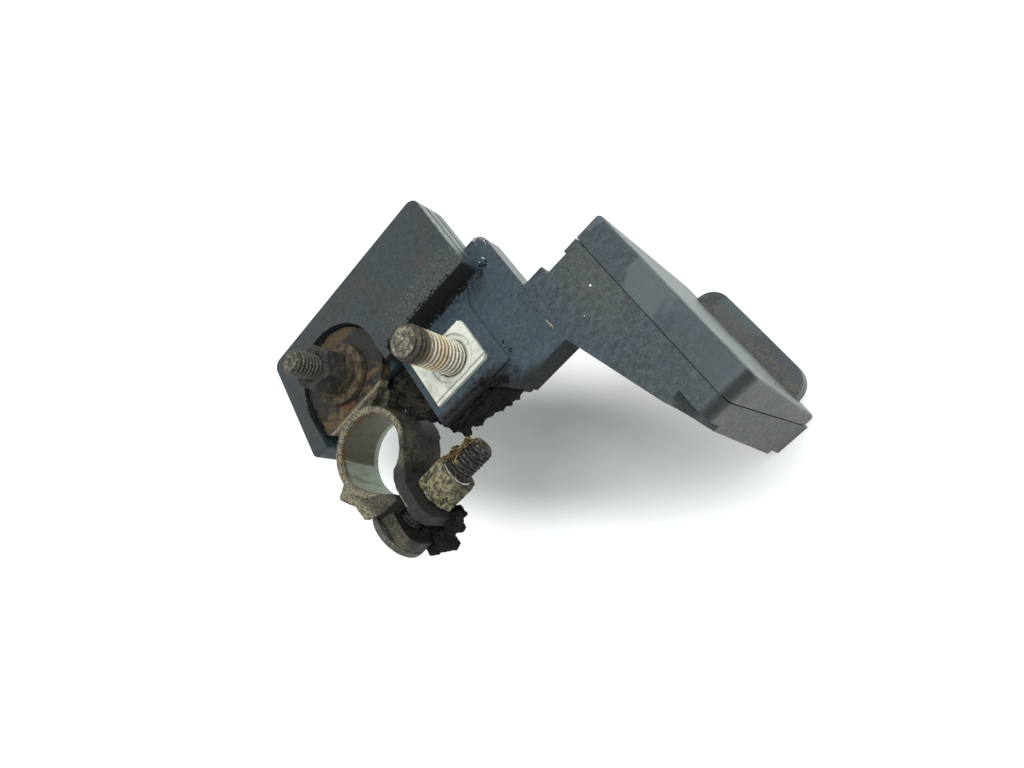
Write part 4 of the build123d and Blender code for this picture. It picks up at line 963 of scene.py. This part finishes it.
def stripPaint(name, dirty):
    paint = Paint(name, {"Metallic": 0.25})
    cloud = paint.grain(3.0, 4.0, 0.6)
    fine = paint.grain(0.5, 4.0, 0.65)
    paint.colour = paint.mix(paint.rise(cloud, 0.45, 0.7) * 0.6, tinLooks["tin"], tinLooks["dull"])
    paint.coat(paint.rise(fine, 0.5, 0.72) * 0.5, tinLooks["yellow"])
    scratch = paint.rise(paint.grain(*tinLooks["scratches"]), 0.62, 0.7)
    paint.coat(scratch * 0.4, tinLooks["dark"])
    relief = fine * 0.03 + scratch * -0.03
    if dirty:
        # turned marks and dirt rings round the stud, and a pressed line near the front edge painted
        # dark as a shadow line
        y = paint.axes()[1]
        reach = paint.away(cableStud["at"], (1, 1, 0))
        ring = paint.between(reach + cloud * 0.9, *tinLooks["ringBand"])
        ring = ring * paint.rise(fine, 0.35, 0.55)
        ring = ring.most(paint.fall(reach + fine * 0.6, *tinLooks["ringFoot"]))
        line = paint.between(y, *tinLooks["line"])
        paint.coat(ring * tinLooks["ringShare"], tinLooks["dark"])
        paint.coat(line * tinLooks["shadowLineShare"], tinLooks["dark"])
        relief = relief - line * 0.1 - ring * 0.05
    return paint.finish(0.38 + fine * 0.25, relief)


dress("link_plate", stripPaint("linkPlateTin", True))
innerTin = stripPaint("innerTin", False)
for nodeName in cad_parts:
    if nodeName == "feed_bar" or nodeName.startswith(("outlet_plate", "fuse_blade")):
        dress(nodeName, innerTin)


# ---- fuses

innerLooks = {
    "fuseBody": {"fixed": {"Specular IOR Level": 0.5}, "patch": (4.0, 3.0, 0.5), "roughness": 0.42,
                 "colour": tint(150, 146, 132), "shade": tint(112, 110, 100)},
    "innerZinc": {"fixed": {"Metallic": 0.8}, "patch": (2.0, 4.0, 0.6), "roughness": 0.35,
                  "colour": tint(150, 154, 152), "shade": tint(104, 106, 102)},
}


def innerPaint(name):
    looks = innerLooks[name]
    paint = Paint(name, looks["fixed"])
    cloud = paint.grain(*looks["patch"])
    fine = paint.grain(0.3, 3.0, 0.5)
    paint.colour = paint.mix(paint.rise(cloud, 0.35, 0.7), looks["colour"], looks["shade"])
    return paint.finish(looks["roughness"] + fine * 0.2, fine * 0.02)


fuseBody = innerPaint("fuseBody")
zinc = innerPaint("innerZinc")
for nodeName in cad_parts:
    if nodeName.startswith("fuse_housing"):
        dress(nodeName, fuseBody)
    if nodeName.startswith(("fuse_stud", "fuse_nut")):
        dress(nodeName, zinc)
print("inner parts painted")


# ---- floor, light and camera

stageSettings = {
    "floorLevel": cadCorners[0][2] / mm, "floorCentre": (30, 0), "floorSize": 4000.0,
    "floorColour": (0.64, 0.69, 0.66, 1.0), "worldLevel": 0.55,
    # the paper runs out to white round a long oval, and its dim middle near the object is a painted
    # shadow
    "glowFar": 0.64, "glowFrom": 0.35, "glowTo": 1.0, "shadowOvalTurn": (0.70, -0.714),
    "shadowOvalAlong": 6.0, "shadowOvalAcross": 8.0, "shadowOvalLength": 96.0, "shadowOvalWidth": 28.0,
}
lampSettings = {
    "keyLamp": {"at": (150.0, -10.0, 600.0), "aim": (30, -10, 0), "power": 2.0, "size": 0.32},
    "sideLamp": {"at": (520.0, 60.0, 160.0), "aim": (40, -10, 0), "power": 0.8, "size": 0.4},
}
lampGloss = 0.3
cameraSettings = {
    "at": (80.7, -90.8, 143.6), "right": (0.6698, -0.5197, -0.5303), "up": (0.6883, 0.7026, 0.1808),
    "lens": 27.07, "sensor": 36.0, "clipStart": 5.0,
}


def grey(level):
    return (level, level, level, 1.0)


def makeFloor():
    stage = stageSettings
    bm = bmesh.new()
    bmesh.ops.create_grid(bm, x_segments=1, y_segments=1, size=stage["floorSize"] / 2 * mm)
    bmesh.ops.translate(bm, verts=bm.verts, vec=point(*stage["floorCentre"], stage["floorLevel"]))
    mesh = bpy.data.meshes.new("floor")
    bm.to_mesh(mesh)
    bm.free()
    floor = bpy.data.objects.new("floor", mesh)
    bpy.context.scene.collection.objects.link(floor)
    paint = Paint("paleFloor", {"Base Color": stage["floorColour"], "Roughness": 0.9,
                                "Specular IOR Level": 0.1, "Emission Strength": 1.0})
    seen = paint.node("ShaderNodeLightPath", output="Is Camera Ray")
    mirrored = paint.node("ShaderNodeLightPath", output="Is Glossy Ray")
    shown = seen.most(mirrored)
    x, y = paint.axes()[:2]
    turnX, turnY = stage["shadowOvalTurn"]
    along = (x * turnX + y * turnY - stage["shadowOvalAlong"]) * (1 / stage["shadowOvalLength"])
    across = (y * turnX - x * turnY - stage["shadowOvalAcross"]) * (1 / stage["shadowOvalWidth"])
    reach = (along * along + across * across) ** 0.5
    # less glow inside the oval: a painted shadow on the floor
    glowRoundShadow = paint.rise(reach, stage["glowFrom"], stage["glowTo"]) * stage["glowFar"]
    paint.feed(paint.shader.inputs["Emission Color"], paint.mix(glowRoundShadow * shown, grey(0.0), grey(1.0)))
    mesh.materials.append(paint.material)


def makeWorld():
    # white where the camera, a mirror or glass sees it, and dimmer as a light
    world = bpy.data.worlds.new("studio")
    bpy.context.scene.world = world
    world.use_nodes = True
    paint = Paint("studio", tree=world.node_tree)
    camera, glossy, through = [paint.node("ShaderNodeLightPath", output=kind)
                               for kind in ("Is Camera Ray", "Is Glossy Ray", "Is Transmission Ray")]
    shown = camera.most(glossy, through)
    background = world.node_tree.nodes["Background"]
    level = stageSettings["worldLevel"]
    paint.feed(background.inputs["Color"], paint.mix(shown, grey(level), grey(1.0)))


def makeLamps():
    for name, settings in lampSettings.items():
        lamp = bpy.data.lights.new(name, "AREA")
        lamp.energy = settings["power"]
        lamp.size = settings["size"]
        lamp.specular_factor = lampGloss
        holder = bpy.data.objects.new(name, lamp)
        bpy.context.scene.collection.objects.link(holder)
        holder.location = point(*settings["at"])
        holder.rotation_mode = "QUATERNION"
        beam = point(*settings["aim"]) - point(*settings["at"])
        holder.rotation_quaternion = beam.to_track_quat("-Z", "Y")


def makeCamera():
    settings = cameraSettings
    data = bpy.data.cameras.new("camera")
    data.lens = settings["lens"]
    data.sensor_width = settings["sensor"]
    data.clip_start = settings["clipStart"] * mm
    camera = bpy.data.objects.new("camera", data)
    bpy.context.scene.collection.objects.link(camera)
    right = Vector(settings["right"]).normalized()
    up = Vector(settings["up"])
    up = (up - right * up.dot(right)).normalized()
    turn = Matrix((right, up, right.cross(up))).transposed()
    camera.matrix_world = Matrix.Translation(point(*settings["at"])) @ turn.to_4x4()
    bpy.context.scene.camera = camera


makeFloor()
makeWorld()
makeLamps()
makeCamera()
bpy.context.scene.view_settings.view_transform = "Standard"
print("stage set")
